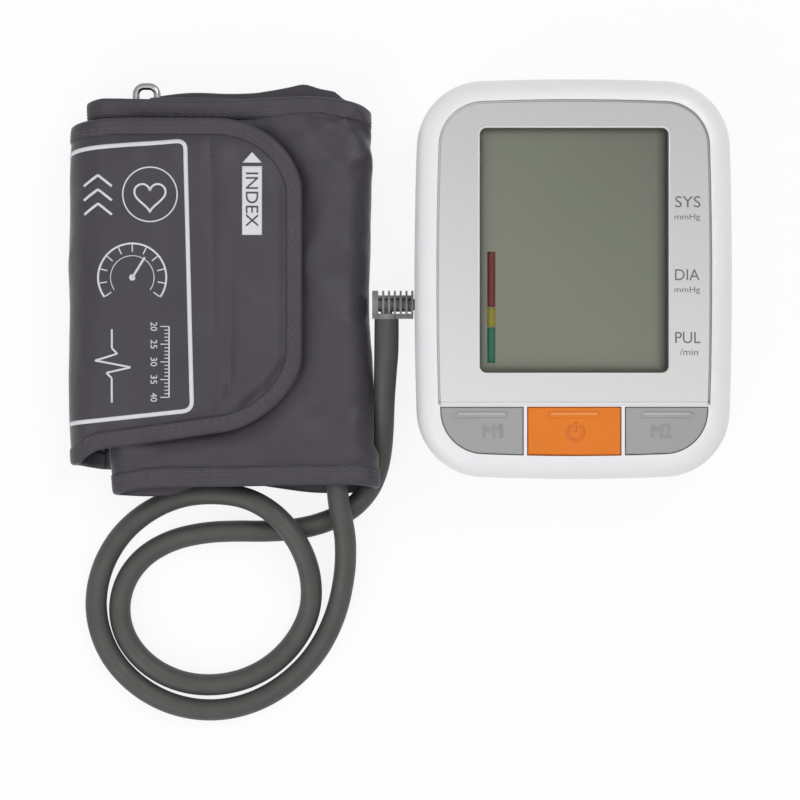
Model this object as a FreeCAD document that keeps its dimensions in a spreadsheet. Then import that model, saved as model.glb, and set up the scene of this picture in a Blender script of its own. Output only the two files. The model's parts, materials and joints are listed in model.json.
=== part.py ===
import FreeCAD, Part
import math
import os
import re
import Sketcher

# A home blood pressure monitor with its arm cuff folded up beside it and the air hose
# lying loose in front of the cuff. Millimetres, +Z up. The origin lies on the table under
# the middle of the monitor and the folded cuff together. +X runs from the cuff to the
# monitor and +Y to the back of the monitor.

sizes = {
    # Housing, over its widest line
    "monitor_width": 115.5,
    "monitor_length": 145.5,
    "monitor_height": 45.0,
    "side_bulge_radius": 1500.0,
    "end_bulge_radius": 820.0,
    "corner_radius": 24.3,
    "wall": 2.4,
    "rim_round": 8.0,
    "base_round": 5.0,
    "parting_height": 24.0,
    "seam_gap": 0.3,
    "lip_height": 2.0,
    "lip_gap": 0.15,
    "lip_share": 0.5,
    "cut_overrun": 1.0,
    # Feet and case screws
    "foot_height": 1.2,
    "foot_radius": 5.0,
    "foot_recess": 0.8,
    "foot_gap": 0.1,
    "foot_back_inset": 28.75,
    "foot_front_inset": 18.0,
    "back_screw_inset_x": 12.25,
    "back_screw_inset_y": 16.25,
    "front_screw_inset_x": 7.95,
    "front_screw_setback": 4.6,
    "boss_radius": 3.6,
    "screw_radius": 1.3,
    "screw_gap": 0.1,
    "screw_head_radius": 2.6,
    "screw_head_height": 1.6,
    "screw_bite": 9.0,
    # Face panel and display window
    "face_margin": 8.7,
    "panel_recess": 1.6,
    "panel_thickness": 0.8,
    "panel_gap": 0.9,
    "window_side_margin": 14.8,
    "window_back_margin": 9.4,
    "window_front_margin": 10.8,
    "window_corner": 2.5,
    "lens_margin": 2.0,
    "lens_thickness": 1.2,
    "lcd_gap": 0.4,
    "lcd_margin": 1.2,
    "lcd_thickness": 2.8,
    "lcd_frame_wall": 1.2,
    "lcd_frame_gap": 0.25,
    "lcd_frame_ledge": 1.6,
    "lcd_height": 5.2,
    "contact_strip_width": 1.8,
    "contact_strip_gap": 0.2,
    # Keys and their switches
    "key_row_depth": 17.4,
    "rib_width": 1.7,
    "power_key_width": 33.7,
    "key_gap": 0.25,
    "key_edge_round": 0.6,
    "key_flange": 0.7,
    "key_flange_thickness": 1.2,
    "key_play": 0.2,
    "key_travel": 0.7,
    "key_sink": 0.3,
    "key_ridge_length": 19.0,
    "key_ridge_width": 1.3,
    "key_ridge_round": 0.6,
    "key_ridge_height": 0.4,
    "key_ridge_drop": 3.0,
    "stem_radius": 2.2,
    "switch_width": 6.0,
    "switch_height": 3.5,
    "plunger_radius": 1.5,
    "plunger_gap": 0.25,
    "plunger_rise": 1.1,
    "plunger_depth": 1.2,
    # Circuit board
    "board_thickness": 1.6,
    "board_edge": 2.5,
    "board_post_radius": 2.2,
    "board_post_gap": 0.4,
    "board_post_share": 0.42,
    "board_screw_radius": 1.0,
    "board_screw_bite": 5.0,
    "board_screw_head_radius": 1.9,
    "board_screw_head_height": 1.3,
    "buzzer_radius": 6.0,
    "buzzer_height": 6.0,
    "buzzer_offset_x": 22.0,
    "buzzer_offset_y": 10.0,
    "buzzer_hole_radius": 1.0,
    # Battery bay, four AA cells side by side
    "cell_radius": 7.1,
    "cell_length": 50.5,
    "cell_nub_radius": 2.75,
    "cell_nub_height": 1.2,
    "cell_space": 0.6,
    "cell_gap": 0.3,
    "contact_space": 3.5,
    "contact_plate": 0.5,
    "contact_width": 9.0,
    "contact_height": 9.5,
    "bay_wall": 1.6,
    "bay_head_room": 0.7,
    "bay_back_margin": 11.75,
    "door_gap": 0.3,
    "door_pin_radius": 0.7,
    "door_pin_length": 1.2,
    "door_pin_gap": 0.15,
    "latch_width": 8.0,
    "latch_height": 7.0,
    "latch_thickness": 1.4,
    "latch_clearance": 1.5,
    "thumb_recess_width": 16.0,
    "thumb_recess_length": 6.0,
    "thumb_recess_depth": 0.9,
    # Pump, valve and air lines
    "socket_setback": 10.7,
    "socket_height": 17.0,
    "socket_radius": 4.6,
    "socket_bore_radius": 2.6,
    "socket_bore_depth": 10.0,
    "socket_flange_radius": 6.2,
    "socket_flange_thickness": 1.5,
    "socket_end_wall": 1.5,
    "socket_seat_gap": 0.1,
    "line_bore_radius": 0.9,
    "barb_radius": 1.5,
    "barb_length": 4.0,
    "tube_radius": 3.0,
    "tube_bore_radius": 1.6,
    "tube_end_gap": 0.2,
    "socket_tube_length": 10.0,
    "valve_tube_length": 10.0,
    "pump_tube_bend": 7.0,
    "pump_tube_tail": 6.0,
    "hub_width": 6.0,
    "hub_chamber": 3.0,
    "valve_length": 18.0,
    "valve_width": 12.0,
    "valve_post_width": 8.0,
    "pump_drop": 24.0,
    "pump_radius": 12.0,
    "pump_head_length": 22.0,
    "pump_cap_radius": 8.0,
    "pump_cap_length": 3.0,
    "motor_radius": 11.6,
    "motor_margin": 21.4,
    "motor_boss_radius": 4.0,
    "motor_boss_length": 2.0,
    "saddle_gap": 0.2,
    "saddle_thickness": 2.5,
    "saddle_drop": 4.0,
    "saddle_share": 0.3,
    "sensor_width": 9.0,
    "sensor_height": 4.6,
    # Folded cuff
    "cuff_gap": 16.7,
    "cuff_roll_width": 111.4,
    "cuff_width": 144.0,
    "cuff_back_edge": 69.0,
    "band_thickness": 3.2,
    "roll_gap": 2.8,
    "front_fold_setback": 7.1,
    "fold_step": 1.2,
    "fold_back_inset": 11.0,
    "fold_front_inset": 9.0,
    "patch_thickness": 0.8,
    "patch_gap": 0.2,
    "patch_length": 58.0,
    "patch_margin": 15.5,
    "patch_inset": 6.0,
    "flap_length": 75.5,
    "flap_back_inset": 9.0,
    "flap_front_inset": 12.0,
    "flap_slant": 6.0,
    "flap_corner": 28.0,
    "flap_hinge_gap": 0.3,
    # Cuff ring, bladder and port
    "ring_wire": 2.6,
    "ring_width": 10.4,
    "ring_overhang": 4.4,
    "ring_front_inset": 4.0,
    "ring_corner": 3.0,
    "eye_gap": 0.1,
    "eye_wall": 1.1,
    "ring_setback": 68.0,
    "ring_clearance": 0.6,
    "ring_relief": 7.0,
    "bladder_thickness": 1.2,
    "bladder_length": 54.0,
    "bladder_back_margin": 13.0,
    "bladder_gap": 0.15,
    "bladder_inset": 0.5,
    "port_setback": 2.4,
    "port_radius": 4.2,
    "port_length": 3.6,
    "port_drop": 0.4,
    "port_pocket": 9.0,
    "port_pocket_depth": 5.0,
    "port_tongue_width": 3.2,
    "port_tongue_length": 4.0,
    # Hose and plug
    "hose_radius": 4.0,
    "plug_gap": 0.4,
    "plug_length": 15.2,
    "plug_radius": 2.6,
    "plug_end_thickness": 2.2,
    "plug_rib_radius": 5.2,
    "plug_rib_thickness": 0.8,
    "plug_rib_pitch": 2.15,
    "plug_outlet_offset": 10.3,
    "plug_outlet_radius": 4.4,
    "plug_outlet_length": 5.4,
    "plug_bar_width": 5.0,
    "plug_bar_thickness": 1.8,
    "plug_spine_reach": 3.4,
    "plug_spine_thickness": 1.1,
    "plug_nose_radius": 2.1,
    "plug_nose_length": 8.4,
    "plug_bore_radius": 1.0,
    "seal_gap": 0.05,
    "seal_groove": 0.3,
    "seal_length": 1.6,
    "seal_setback": 4.0,
}

# Heights, lines and lengths that several pieces share, as sums of the sizes
places = {
    "span": "cuff_roll_width + cuff_gap + monitor_width",
    "monitor_x": "span / 2 - monitor_width / 2",
    "monitor_left": "span / 2 - monitor_width",
    "floor_top": "foot_height + wall",
    "deck_underside": "monitor_height - wall",
    "back_screw_x": "monitor_width / 2 - back_screw_inset_x",
    "back_screw_y": "monitor_length / 2 - back_screw_inset_y",
    "front_screw_x": "monitor_width / 2 - front_screw_inset_x",
    "front_screw_y": "key_back + front_screw_setback",
    "boss_joint": "parting_height + lip_height",
    "post_top": "deck_underside + wall / 4",
    "screw_seat": "foot_height + screw_head_height + screw_gap",
    "foot_x": "(monitor_width / 2 - base_round + bay_width / 2 + bay_wall) / 2",
    "foot_back": "monitor_length / 2 - foot_back_inset",
    "foot_front": "foot_front_inset - monitor_length / 2",
    "field_front": "face_margin - monitor_length / 2",
    "field_back": "monitor_length / 2 - face_margin",
    "field_side": "monitor_width / 2 - face_margin",
    "key_back": "field_front + key_row_depth",
    "key_y": "field_front + key_row_depth / 2",
    "panel_front": "key_back + rib_width",
    "panel_floor": "monitor_height - panel_recess",
    "key_top": "monitor_height - key_sink",
    "flange_top": "deck_underside - key_play",
    "flange_floor": "flange_top - key_flange_thickness",
    "side_key_x": "power_key_width / 2 + rib_width",
    "side_key_middle": "(side_key_x + field_side) / 2",
    "window_width": "2 * (field_side - window_side_margin)",
    "window_length": "field_back - window_back_margin - panel_front - window_front_margin",
    "window_y": "field_back - window_back_margin - window_length / 2",
    "lens_floor": "deck_underside - lens_thickness",
    "lcd_top": "lens_floor - lcd_gap",
    "lcd_floor": "lcd_top - lcd_thickness",
    "lcd_width": "window_width + 2 * lcd_margin",
    "lcd_length": "window_length + 2 * lcd_margin",
    "frame_width": "lcd_width + 2 * (lcd_frame_gap + lcd_frame_wall)",
    "frame_length": "lcd_length + 2 * (lcd_frame_gap + lcd_frame_wall)",
    "board_top": "lcd_floor - lcd_height",
    "board_floor": "board_top - board_thickness",
    "board_post_x": "frame_width / 2 + board_post_gap + board_post_radius",
    "board_post_reach": "board_post_share * window_length",
    "board_half_width": "board_post_x + board_post_radius + board_edge",
    "board_front": "key_y - switch_width / 2 - board_edge",
    "board_back": "window_y + frame_length / 2 + board_edge",
    "switch_top": "board_top + switch_height",
    "plunger_top": "switch_top + plunger_rise",
    "cell_pitch": "2 * cell_radius + cell_space",
    "cell_z": "floor_top + cell_gap + cell_radius",
    "bay_width": "4 * cell_pitch + cell_space",
    "bay_back": "monitor_length / 2 - bay_back_margin",
    "bay_front": "bay_back - cell_length - 2 * contact_space",
    "bay_top": "cell_z + cell_radius + bay_head_room",
    "hinge_y": "bay_back - door_gap - wall / 2",
    "hinge_z": "foot_height + wall / 2",
    "socket_y": "bay_front - bay_wall - socket_setback",
    "wall_inside": "monitor_left + wall",
    "socket_back": "monitor_left + socket_bore_depth + socket_end_wall",
    "hub_x": "socket_back + socket_tube_length + 2 * tube_end_gap + hub_width / 2",
    "valve_left": "hub_x + hub_width / 2 + valve_tube_length + 2 * tube_end_gap",
    "pump_y": "socket_y - pump_drop",
    "pump_left": "hub_x + pump_tube_bend + pump_tube_tail + tube_end_gap",
    "pump_head_left": "pump_left + pump_cap_length",
    "motor_left": "pump_head_left + pump_head_length",
    "motor_length": "span / 2 - motor_margin - motor_left",
    "sensor_floor": "board_floor - sensor_height",
    "cuff_left": "-span / 2",
    "cuff_right": "cuff_left + cuff_roll_width",
    "cuff_front_edge": "cuff_back_edge - cuff_width",
    "flap_back_edge": "cuff_back_edge - flap_back_inset",
    "flap_front_edge": "cuff_front_edge + flap_front_inset",
    "layer_pitch": "band_thickness + roll_gap",
    "back_layer_z": "band_thickness / 2",
    "inner_one_z": "back_layer_z + layer_pitch",
    "inner_two_z": "inner_one_z + layer_pitch",
    "front_layer_z": "inner_two_z + layer_pitch",
    "front_layer_top": "front_layer_z + band_thickness / 2",
    "hook_floor": "front_layer_top + patch_thickness + patch_gap",
    "flap_floor": "hook_floor + patch_thickness",
    "flap_top": "flap_floor + band_thickness",
    "flap_z": "flap_floor + band_thickness / 2",
    "left_fold_radius": "(flap_z - back_layer_z) / 2",
    "left_fold_x": "cuff_left + band_thickness / 2 + left_fold_radius",
    "right_fold_radius": "(front_layer_z - back_layer_z) / 2",
    "right_fold_x": "cuff_right - band_thickness / 2 - right_fold_radius",
    "right_fold_z": "(front_layer_z + back_layer_z) / 2",
    "front_fold_radius": "(front_layer_z - inner_one_z) / 2",
    "front_fold_x": "left_fold_x + front_fold_setback",
    "inner_fold_radius": "layer_pitch / 2",
    "eye_x": "right_fold_x - ring_setback",
    "eye_radius": "ring_wire / 2 + eye_gap",
    "ring_x": "eye_x - (ring_width - ring_wire) / 2",
    "ring_length": "cuff_width + ring_overhang - ring_front_inset",
    "ring_y": "cuff_back_edge + ring_overhang - ring_length / 2",
    "flap_left": "left_fold_x + flap_hinge_gap",
    "flap_right": "left_fold_x + flap_length",
    "patch_x": "left_fold_x + patch_inset + patch_length / 2",
    "port_x": "right_fold_x - port_setback",
    "port_z": "inner_two_z - port_drop",
    "port_back": "cuff_front_edge + port_pocket",
    "port_front": "port_back - port_length",
    "bladder_right": "right_fold_x - bladder_inset",
    "bladder_front": "port_back + port_tongue_length",
    "bladder_back": "cuff_back_edge - bladder_back_margin",
    "plug_face": "monitor_left - plug_gap",
    "plug_end": "plug_face - plug_length",
    "outlet_x": "monitor_left - plug_outlet_offset",
    "outlet_front": "socket_y - plug_outlet_length",
    "seal_x": "plug_face + seal_setback",
}

# The hose's free way from the plug to the cuff, chosen by hand: across, along and up
hose_route = [
    (-4.4, -32.5, 15.6),
    (-5.0, -44.4, 11.8),
    (-5.4, -55.4, 7.6),
    (-5.9, -64.8, 4.8),
    (-6.9, -75.0, 4.1),
    (-11.4, -82.6, 4.1),
    (-18.4, -88.0, 4.1),
    (-27.6, -91.2, 4.1),
    (-38.0, -92.6, 4.1),
    (-49.0, -93.0, 4.1),
    (-60.6, -92.8, 4.1),
    (-72.4, -93.4, 4.1),
    (-84.6, -96.2, 4.1),
    (-95.2, -102.4, 4.1),
    (-102.0, -111.8, 4.1),
    (-104.2, -123.2, 4.1),
    (-100.8, -134.6, 4.1),
    (-92.0, -144.0, 4.1),
    (-80.6, -149.4, 4.1),
    (-68.4, -150.6, 4.1),
    (-56.4, -148.2, 4.1),
    (-45.8, -142.4, 4.1),
    (-37.2, -133.2, 4.3),
    (-32.0, -121.8, 6.0),
    (-32.0, -109.0, 10.0),
    (-36.2, -97.2, 13.6),
    (-44.2, -87.6, 13.6),
    (-55.2, -81.6, 10.6),
    (-68.2, -80.0, 6.6),
    (-81.4, -81.2, 4.4),
    (-93.8, -86.2, 4.1),
    (-104.2, -95.0, 4.1),
    (-111.2, -108.2, 4.1),
    (-113.0, -123.4, 4.1),
    (-108.2, -138.6, 4.1),
    (-97.6, -150.6, 4.1),
    (-83.8, -158.0, 4.1),
    (-68.4, -160.2, 4.1),
    (-53.4, -157.0, 4.1),
    (-40.2, -149.2, 4.1),
    (-29.6, -138.0, 4.2),
    (-22.6, -123.8, 5.6),
    (-19.6, -108.4, 9.4),
    (-19.8, -96.4, 12.6),
    (-21.6, -88.0, 13.3),
]
hose_end_run = 11.0  # straight and square to the plug and to the port
run_share = 0.45

doc = FreeCAD.newDocument("BloodPressureMonitor")
sheet = doc.addObject("Spreadsheet::Sheet", "Sizes")
for row, (alias, number) in enumerate(sizes.items(), start=1):
    sheet.set(f"A{row}", alias)
    sheet.set(f"B{row}", str(number))
    sheet.setAlias(f"B{row}", alias)
doc.recompute()

nodes = {}
up = FreeCAD.Vector(0, 0, 1)
turns = {
    "X": FreeCAD.Rotation(FreeCAD.Vector(0, 1, 0), 90),
    "Y": FreeCAD.Rotation(FreeCAD.Vector(1, 0, 0), -90),
    "Z": FreeCAD.Rotation(),
}


def formula(text):
    # Writes a sum of sizes and places as an expression on the sheet.
    def swap(match):
        word = match.group(0)
        if word in places:
            return "(" + formula(places[word]) + ")"
        return "Sizes." + word if word in sizes else word

    return re.sub(r"[a-z_]+", swap, text)


def value(text):
    return float(sheet.evalExpression(formula(text)))


def around(middle, extent):
    return f"({middle}) - ({extent}) / 2", f"({middle}) + ({extent}) / 2"


def bind(item, **sums):
    for name, text in sums.items():
        item.setExpression(name, formula(text))
    return item


def place(item, x, y, z):
    for axis, text in zip("xyz", (x, y, z)):
        item.setExpression(f"Placement.Base.{axis}", formula(text))
    return item


def block(name, x, y, z):
    # A box between the low and the high sum of each axis.
    item = doc.addObject("Part::Box", name)
    for side, (low, high) in zip(("Length", "Width", "Height"), (x, y, z)):
        item.setExpression(side, formula(f"({high}) - ({low})"))
    return place(item, x[0], y[0], z[0])


def rod(name, radius, axis, along, across):
    # A cylinder along an axis; across gives its centre on the other two axes, in order.
    item = doc.addObject("Part::Cylinder", name)
    item.Placement = FreeCAD.Placement(FreeCAD.Vector(), turns[axis])
    low, high = along
    bind(item, Radius=radius, Height=f"({high}) - ({low})")
    start = list(across)
    start.insert("XYZ".index(axis), low)
    return place(item, *start)


def joined(name, pieces):
    item = doc.addObject("Part::MultiFuse", name)
    item.Shapes = pieces
    return item


def shared(name, first, second):
    item = doc.addObject("Part::MultiCommon", name)
    item.Shapes = [first, second]
    return item


def less(name, base, cuts):
    item = doc.addObject("Part::Cut", name)
    item.Base = base
    item.Tool = cuts[0] if len(cuts) == 1 else joined(name + "_cuts", cuts)
    return item


def group(name, pieces):
    # Separate solids that share one node.
    item = doc.addObject("Part::Compound", name)
    item.Links = pieces
    return item


def pipe(name, outer, bore, axis, along, across):
    # A straight tube with its bore right through.
    low, high = along
    past = (f"({low}) - cut_overrun", f"({high}) + cut_overrun")
    skin = rod(name + "_skin", outer, axis, along, across)
    return less(name, skin, [rod(name + "_bore", bore, axis, past, across)])


def node(name, item):
    item.Label = name
    nodes[name] = item
    return item


def new_sketch(body, role):
    plane = next(f for f in body.Origin.OriginFeatures if f.Role == role)
    sketch = body.newObject("Sketcher::SketchObject", body.Name + "_sketch")
    sketch.AttachmentSupport = [(plane, "")]
    sketch.MapMode = "FlatFace"
    return sketch


def new_body(name):
    return doc.addObject("PartDesign::Body", name)


def rule(sketch, kind, *items, text):
    # Adds a driving dimension tied to a sum of sizes.
    index = sketch.addConstraint(Sketcher.Constraint(kind, *items, value(text)))
    sketch.setExpression(f"Constraints[{index}]", formula(text))


def add_arc(sketch, x, y, radius, start, end):
    circle = Part.Circle(FreeCAD.Vector(x, y, 0), up, radius)
    return sketch.addGeometry(Part.ArcOfCircle(circle, start, end))


def add_line(sketch, start, end):
    return sketch.addGeometry(Part.LineSegment(FreeCAD.Vector(*start, 0), FreeCAD.Vector(*end, 0)))


def chain(sketch, parts, closed=True):
    # Joins lines and arcs end to end, each tangent to the next.
    followers = parts[1:] + parts[:1] if closed else parts[1:]
    for first, second in zip(parts, followers):
        sketch.addConstraint(Sketcher.Constraint("Tangent", first, 2, second, 1))


def crowned_outline(body, inset):
    # The housing outline drawn in by the inset: four long arcs joined by four corner arcs.
    sketch = new_sketch(body, "XY_Plane")
    half_width = f"(monitor_width / 2 - ({inset}))"
    half_length = f"(monitor_length / 2 - ({inset}))"
    side = f"(side_bulge_radius - ({inset}))"
    end = f"(end_bulge_radius - ({inset}))"
    corner = f"(corner_radius - ({inset}))"
    x = value(f"{half_width} - {corner}")
    y = value(f"{half_length} - {corner}")
    side_turn = math.asin(y / value(side))
    end_turn = math.asin(x / value(end))
    quarter = math.pi / 2
    ring = []
    for step, (turn, radius, half) in enumerate(
        [(side_turn, side, half_width), (end_turn, end, half_length)] * 2
    ):
        facing = step * quarter
        away = value(f"{half} - {radius}")
        middle = (away * math.cos(facing), away * math.sin(facing))
        long_arc = add_arc(sketch, *middle, value(radius), facing - turn, facing + turn)
        across = x if step in (0, 3) else -x
        along = y if step in (0, 1) else -y
        bend = add_arc(sketch, across, along, value(corner), facing, facing + quarter)
        rule(sketch, "Radius", long_arc, text=radius)
        rule(sketch, "Radius", bend, text=corner)
        sketch.addConstraint(Sketcher.Constraint("PointOnObject", long_arc, 3, -1 - step % 2))
        kind = "DistanceX" if step % 2 == 0 else "DistanceY"
        ends = (long_arc, 3, -1, 1) if step < 2 else (-1, 1, long_arc, 3)
        rule(sketch, kind, *ends, text=f"{radius} - {half}")
        ring += [long_arc, bend]
    chain(sketch, ring)
    return sketch


def rounded_outline(body, role, width, length, corner):
    # A rectangle with rounded corners about the sketch's origin.
    sketch = new_sketch(body, role)
    x = value(f"({width}) / 2")
    y = value(f"({length}) / 2")
    r = value(corner)
    quarter = math.pi / 2
    spots = [(x - r, y - r), (r - x, y - r), (r - x, r - y), (x - r, r - y)]
    sides = [
        ((x, r - y), (x, y - r)),
        ((x - r, y), (r - x, y)),
        ((-x, y - r), (-x, r - y)),
        ((r - x, -y), (x - r, -y)),
    ]
    ring = []
    for step, (spot, side) in enumerate(zip(spots, sides)):
        line = add_line(sketch, *side)
        bend = add_arc(sketch, *spot, r, step * quarter, (step + 1) * quarter)
        rule(sketch, "Radius", bend, text=corner)
        upright = step % 2 == 0
        sketch.addConstraint(Sketcher.Constraint("Vertical" if upright else "Horizontal", line))
        kind = "DistanceX" if upright else "DistanceY"
        ends = (-1, 1, line, 1) if step < 2 else (line, 1, -1, 1)
        rule(sketch, kind, *ends, text=f"({width if upright else length}) / 2")
        ring += [line, bend]
    chain(sketch, ring)
    return sketch


def pad(body, sketch, height):
    item = body.newObject("PartDesign::Pad", body.Name + "_pad")
    item.Profile = sketch
    return bind(item, Length=height)


def crowned_prism(name, inset, low, high):
    body = new_body(name)
    pad(body, crowned_outline(body, inset), f"({high}) - ({low})")
    return place(body, "monitor_x", "0", low)


def rounded_prism(name, width, length, corner, z, x="monitor_x", y="window_y"):
    body = new_body(name)
    pad(body, rounded_outline(body, "XY_Plane", width, length, corner), f"({z[1]}) - ({z[0]})")
    return place(body, x, y, z[0])


def edges_at(item, height):
    # The names of the edges that lie level at a height.
    doc.recompute()
    return [
        f"Edge{number}"
        for number, edge in enumerate(item.Shape.Edges, start=1)
        if all(abs(spot.z - height) < 1e-6 for spot in edge.discretize(3))
    ]


def cover_shell(name, low, high, rounding, round_top):
    # A housing half: the padded outline, its outer edge rounded, hollowed from its open side.
    body = new_body(name)
    base = pad(body, crowned_outline(body, "0"), f"({high}) - ({low})")
    doc.recompute()
    tall = value(f"({high}) - ({low})")
    closed_level, open_level = (tall, 0) if round_top else (0, tall)
    rim = body.newObject("PartDesign::Fillet", name + "_rim")
    rim.Base = (base, edges_at(base, closed_level))
    bind(rim, Radius=rounding)
    doc.recompute()
    mouth = next(
        f"Face{number}"
        for number, face in enumerate(rim.Shape.Faces, start=1)
        if abs(face.CenterOfMass.z - open_level) < 1e-6
    )
    shell = body.newObject("PartDesign::Thickness", name + "_shell")
    shell.Base = (rim, [mouth])
    shell.Reversed = True
    shell.Join = "Intersection"
    bind(shell, Value="wall")
    doc.recompute()
    return place(body, "monitor_x", "0", low)


def foot_spots():
    # The four places about the monitor's middle, back right first.
    for y in ("foot_back", "foot_front"):
        for across in (1, -1):
            yield f"monitor_x + {across} * foot_x", y


def case_screw_spots():
    # Two screws in the back corners, and two behind the keys beside the display.
    for end in ("back", "front"):
        for across in (1, -1):
            yield f"monitor_x + {across} * {end}_screw_x", f"{end}_screw_y"


key_names = ("memory_one_key", "power_key", "memory_two_key")
key_spans = (
    ("monitor_x - field_side - cut_overrun", "monitor_x - side_key_x"),
    around("monitor_x", "power_key_width"),
    ("monitor_x + side_key_x", "monitor_x + field_side + cut_overrun"),
)
key_middles = ("monitor_x - side_key_middle", "monitor_x", "monitor_x + side_key_middle")


def key_prism(name, span, swell, z):
    # One key's share of the face field, swollen all round.
    field = crowned_prism(name + "_field", f"face_margin - ({swell})", *z)
    x = (f"{span[0]} - ({swell})", f"{span[1]} + ({swell})")
    y = (f"field_front - ({swell}) - cut_overrun", f"key_back + ({swell})")
    slab = block(name + "_slab", x, y, (f"({z[0]}) - cut_overrun", f"({z[1]}) + cut_overrun"))
    return shared(name, field, slab)


def make_front_cover():
    shell = cover_shell("front_shell", "parting_height + seam_gap", "monitor_height", "rim_round", True)
    through = ("deck_underside - cut_overrun", "monitor_height + cut_overrun")
    above = ("panel_floor", "monitor_height + cut_overrun")
    rebate = crowned_prism(
        "front_rebate",
        "wall * lip_share - lip_gap",
        "parting_height - cut_overrun",
        "parting_height + lip_height + lip_gap",
    )
    recess_field = crowned_prism("panel_recess_field", "face_margin - panel_gap", *above)
    recess_slab = block(
        "panel_recess_slab",
        around("monitor_x", "monitor_width"),
        ("panel_front - panel_gap", "monitor_length / 2"),
        ("panel_floor - cut_overrun", "monitor_height + 2 * cut_overrun"),
    )
    recess = shared("panel_recess_cut", recess_field, recess_slab)
    window = rounded_prism("window_cut", "window_width", "window_length", "window_corner", through)
    cuts = [rebate, recess, window]
    for name, span in zip(key_names, key_spans):
        cuts.append(key_prism(name + "_opening", span, "key_gap", through))
    cover = less("front_open", shell, cuts)
    posts = []
    for number, (x, y) in enumerate(case_screw_spots(), start=1):
        posts.append(
            blind_post(f"case_boss_{number}", "boss_radius", "screw_radius", "screw_bite",
                       ("boss_joint", "post_top"), (x, y))
        )
    for number, (x, y) in enumerate(board_posts(), start=1):
        posts.append(
            blind_post(f"board_post_{number}", "board_post_radius", "board_screw_radius",
                       "board_screw_bite", ("board_top", "post_top"), (x, y))
        )
    node("front_cover", joined("front_cover", [cover] + posts))


def blind_post(name, radius, screw, bite, z, across):
    # A post that hangs from the deck, with a blind hole for a screw from below.
    post = rod(name + "_post", radius, "Z", z, across)
    low = f"({z[0]}) - cut_overrun"
    hole = rod(name + "_hole", f"{screw} + screw_gap", "Z",
               (low, f"({z[0]}) + {bite} + screw_gap"), across)
    return less(name, post, [hole])


def board_posts():
    for along in (1, -1):
        for across in (1, -1):
            yield f"monitor_x + {across} * board_post_x", f"window_y + {along} * board_post_reach"


def make_rear_cover():
    shell = cover_shell("rear_shell", "foot_height", "parting_height", "base_round", False)
    lip_outer = crowned_prism("lip_outer", "wall * lip_share", "parting_height - lip_height",
                              "parting_height + lip_height")
    lip_inner = crowned_prism("lip_inner", "wall", "parting_height - lip_height - cut_overrun",
                              "parting_height + lip_height + cut_overrun")
    lip = less("lip", lip_outer, [lip_inner])
    bay_x = around("monitor_x", "bay_width")
    bay_shell = block(
        "bay_shell",
        around("monitor_x", "bay_width + 2 * bay_wall"),
        ("bay_front - bay_wall", "bay_back + bay_wall"),
        ("foot_height + wall / 2", "bay_top + bay_wall"),
    )
    bay_hollow = block("bay_hollow", bay_x, ("bay_front", "bay_back"), ("0", "bay_top"))
    pieces = [shell, lip, bay_shell]
    cuts = [bay_hollow]
    for number, (x, y) in enumerate(case_screw_spots(), start=1):
        pieces.append(rod(f"rear_boss_{number}", "boss_radius", "Z",
                          ("foot_height + wall / 2", "boss_joint"), (x, y)))
        cuts.append(rod(f"screw_head_room_{number}", "screw_head_radius + screw_gap", "Z",
                        ("0", "screw_seat"), (x, y)))
        cuts.append(rod(f"screw_way_{number}", "screw_radius + screw_gap", "Z",
                        ("0", "boss_joint + cut_overrun"), (x, y)))
    for number, (x, y) in enumerate(foot_spots(), start=1):
        cuts.append(rod(f"foot_recess_{number}", "foot_radius + foot_gap", "Z",
                        ("0", "foot_height + foot_recess"), (x, y)))
    for number, share in enumerate(("saddle_share", "1 - saddle_share"), start=1):
        middle = f"motor_left + ({share}) * motor_length"
        pieces.append(block(
            f"motor_saddle_{number}",
            around(middle, "saddle_thickness"),
            around("pump_y", "2 * motor_radius"),
            ("foot_height + wall / 2", "socket_height - saddle_drop"),
        ))
    pieces.append(block(
        "head_saddle",
        around("pump_head_left + pump_head_length / 2", "saddle_thickness"),
        around("pump_y", "2 * pump_radius"),
        ("foot_height + wall / 2", "socket_height - saddle_drop"),
    ))
    cuts.append(rod("motor_bed", "motor_radius + saddle_gap", "X",
                    ("motor_left", "motor_left + motor_length"), ("pump_y", "socket_height")))
    cuts.append(rod("head_bed", "pump_radius + saddle_gap", "X",
                    ("pump_head_left", "motor_left"), ("pump_y", "socket_height")))
    pieces.append(block(
        "valve_post",
        around("valve_left + valve_length / 2", "valve_post_width"),
        around("socket_y", "valve_post_width"),
        ("foot_height + wall / 2", "socket_height - valve_width / 2"),
    ))
    cuts.append(rod("socket_way", "socket_radius + socket_seat_gap", "X",
                    ("monitor_left - cut_overrun", "wall_inside + cut_overrun"),
                    ("socket_y", "socket_height")))
    for number, side in enumerate((1, -1), start=1):
        low = f"monitor_x + {side} * (bay_width / 2 + (door_pin_length + door_gap) / 2)"
        cuts.append(rod(f"door_pin_seat_{number}", "door_pin_radius + door_pin_gap", "X",
                        around(low, "door_pin_length + door_gap"), ("hinge_y", "hinge_z")))
    node("rear_cover", less("rear_cover", joined("rear_solid", pieces), cuts))


def make_face_panel():
    z = ("panel_floor", "panel_floor + panel_thickness")
    past = ("panel_floor - cut_overrun", "monitor_height + cut_overrun")
    field = crowned_prism("panel_field", "face_margin", *z)
    slab = block("panel_slab", around("monitor_x", "monitor_width"),
                 ("panel_front", "monitor_length / 2"), past)
    window = rounded_prism("panel_window", "window_width", "window_length", "window_corner", past)
    node("face_panel", less("face_panel", shared("panel_plate", field, slab), [window]))


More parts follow.
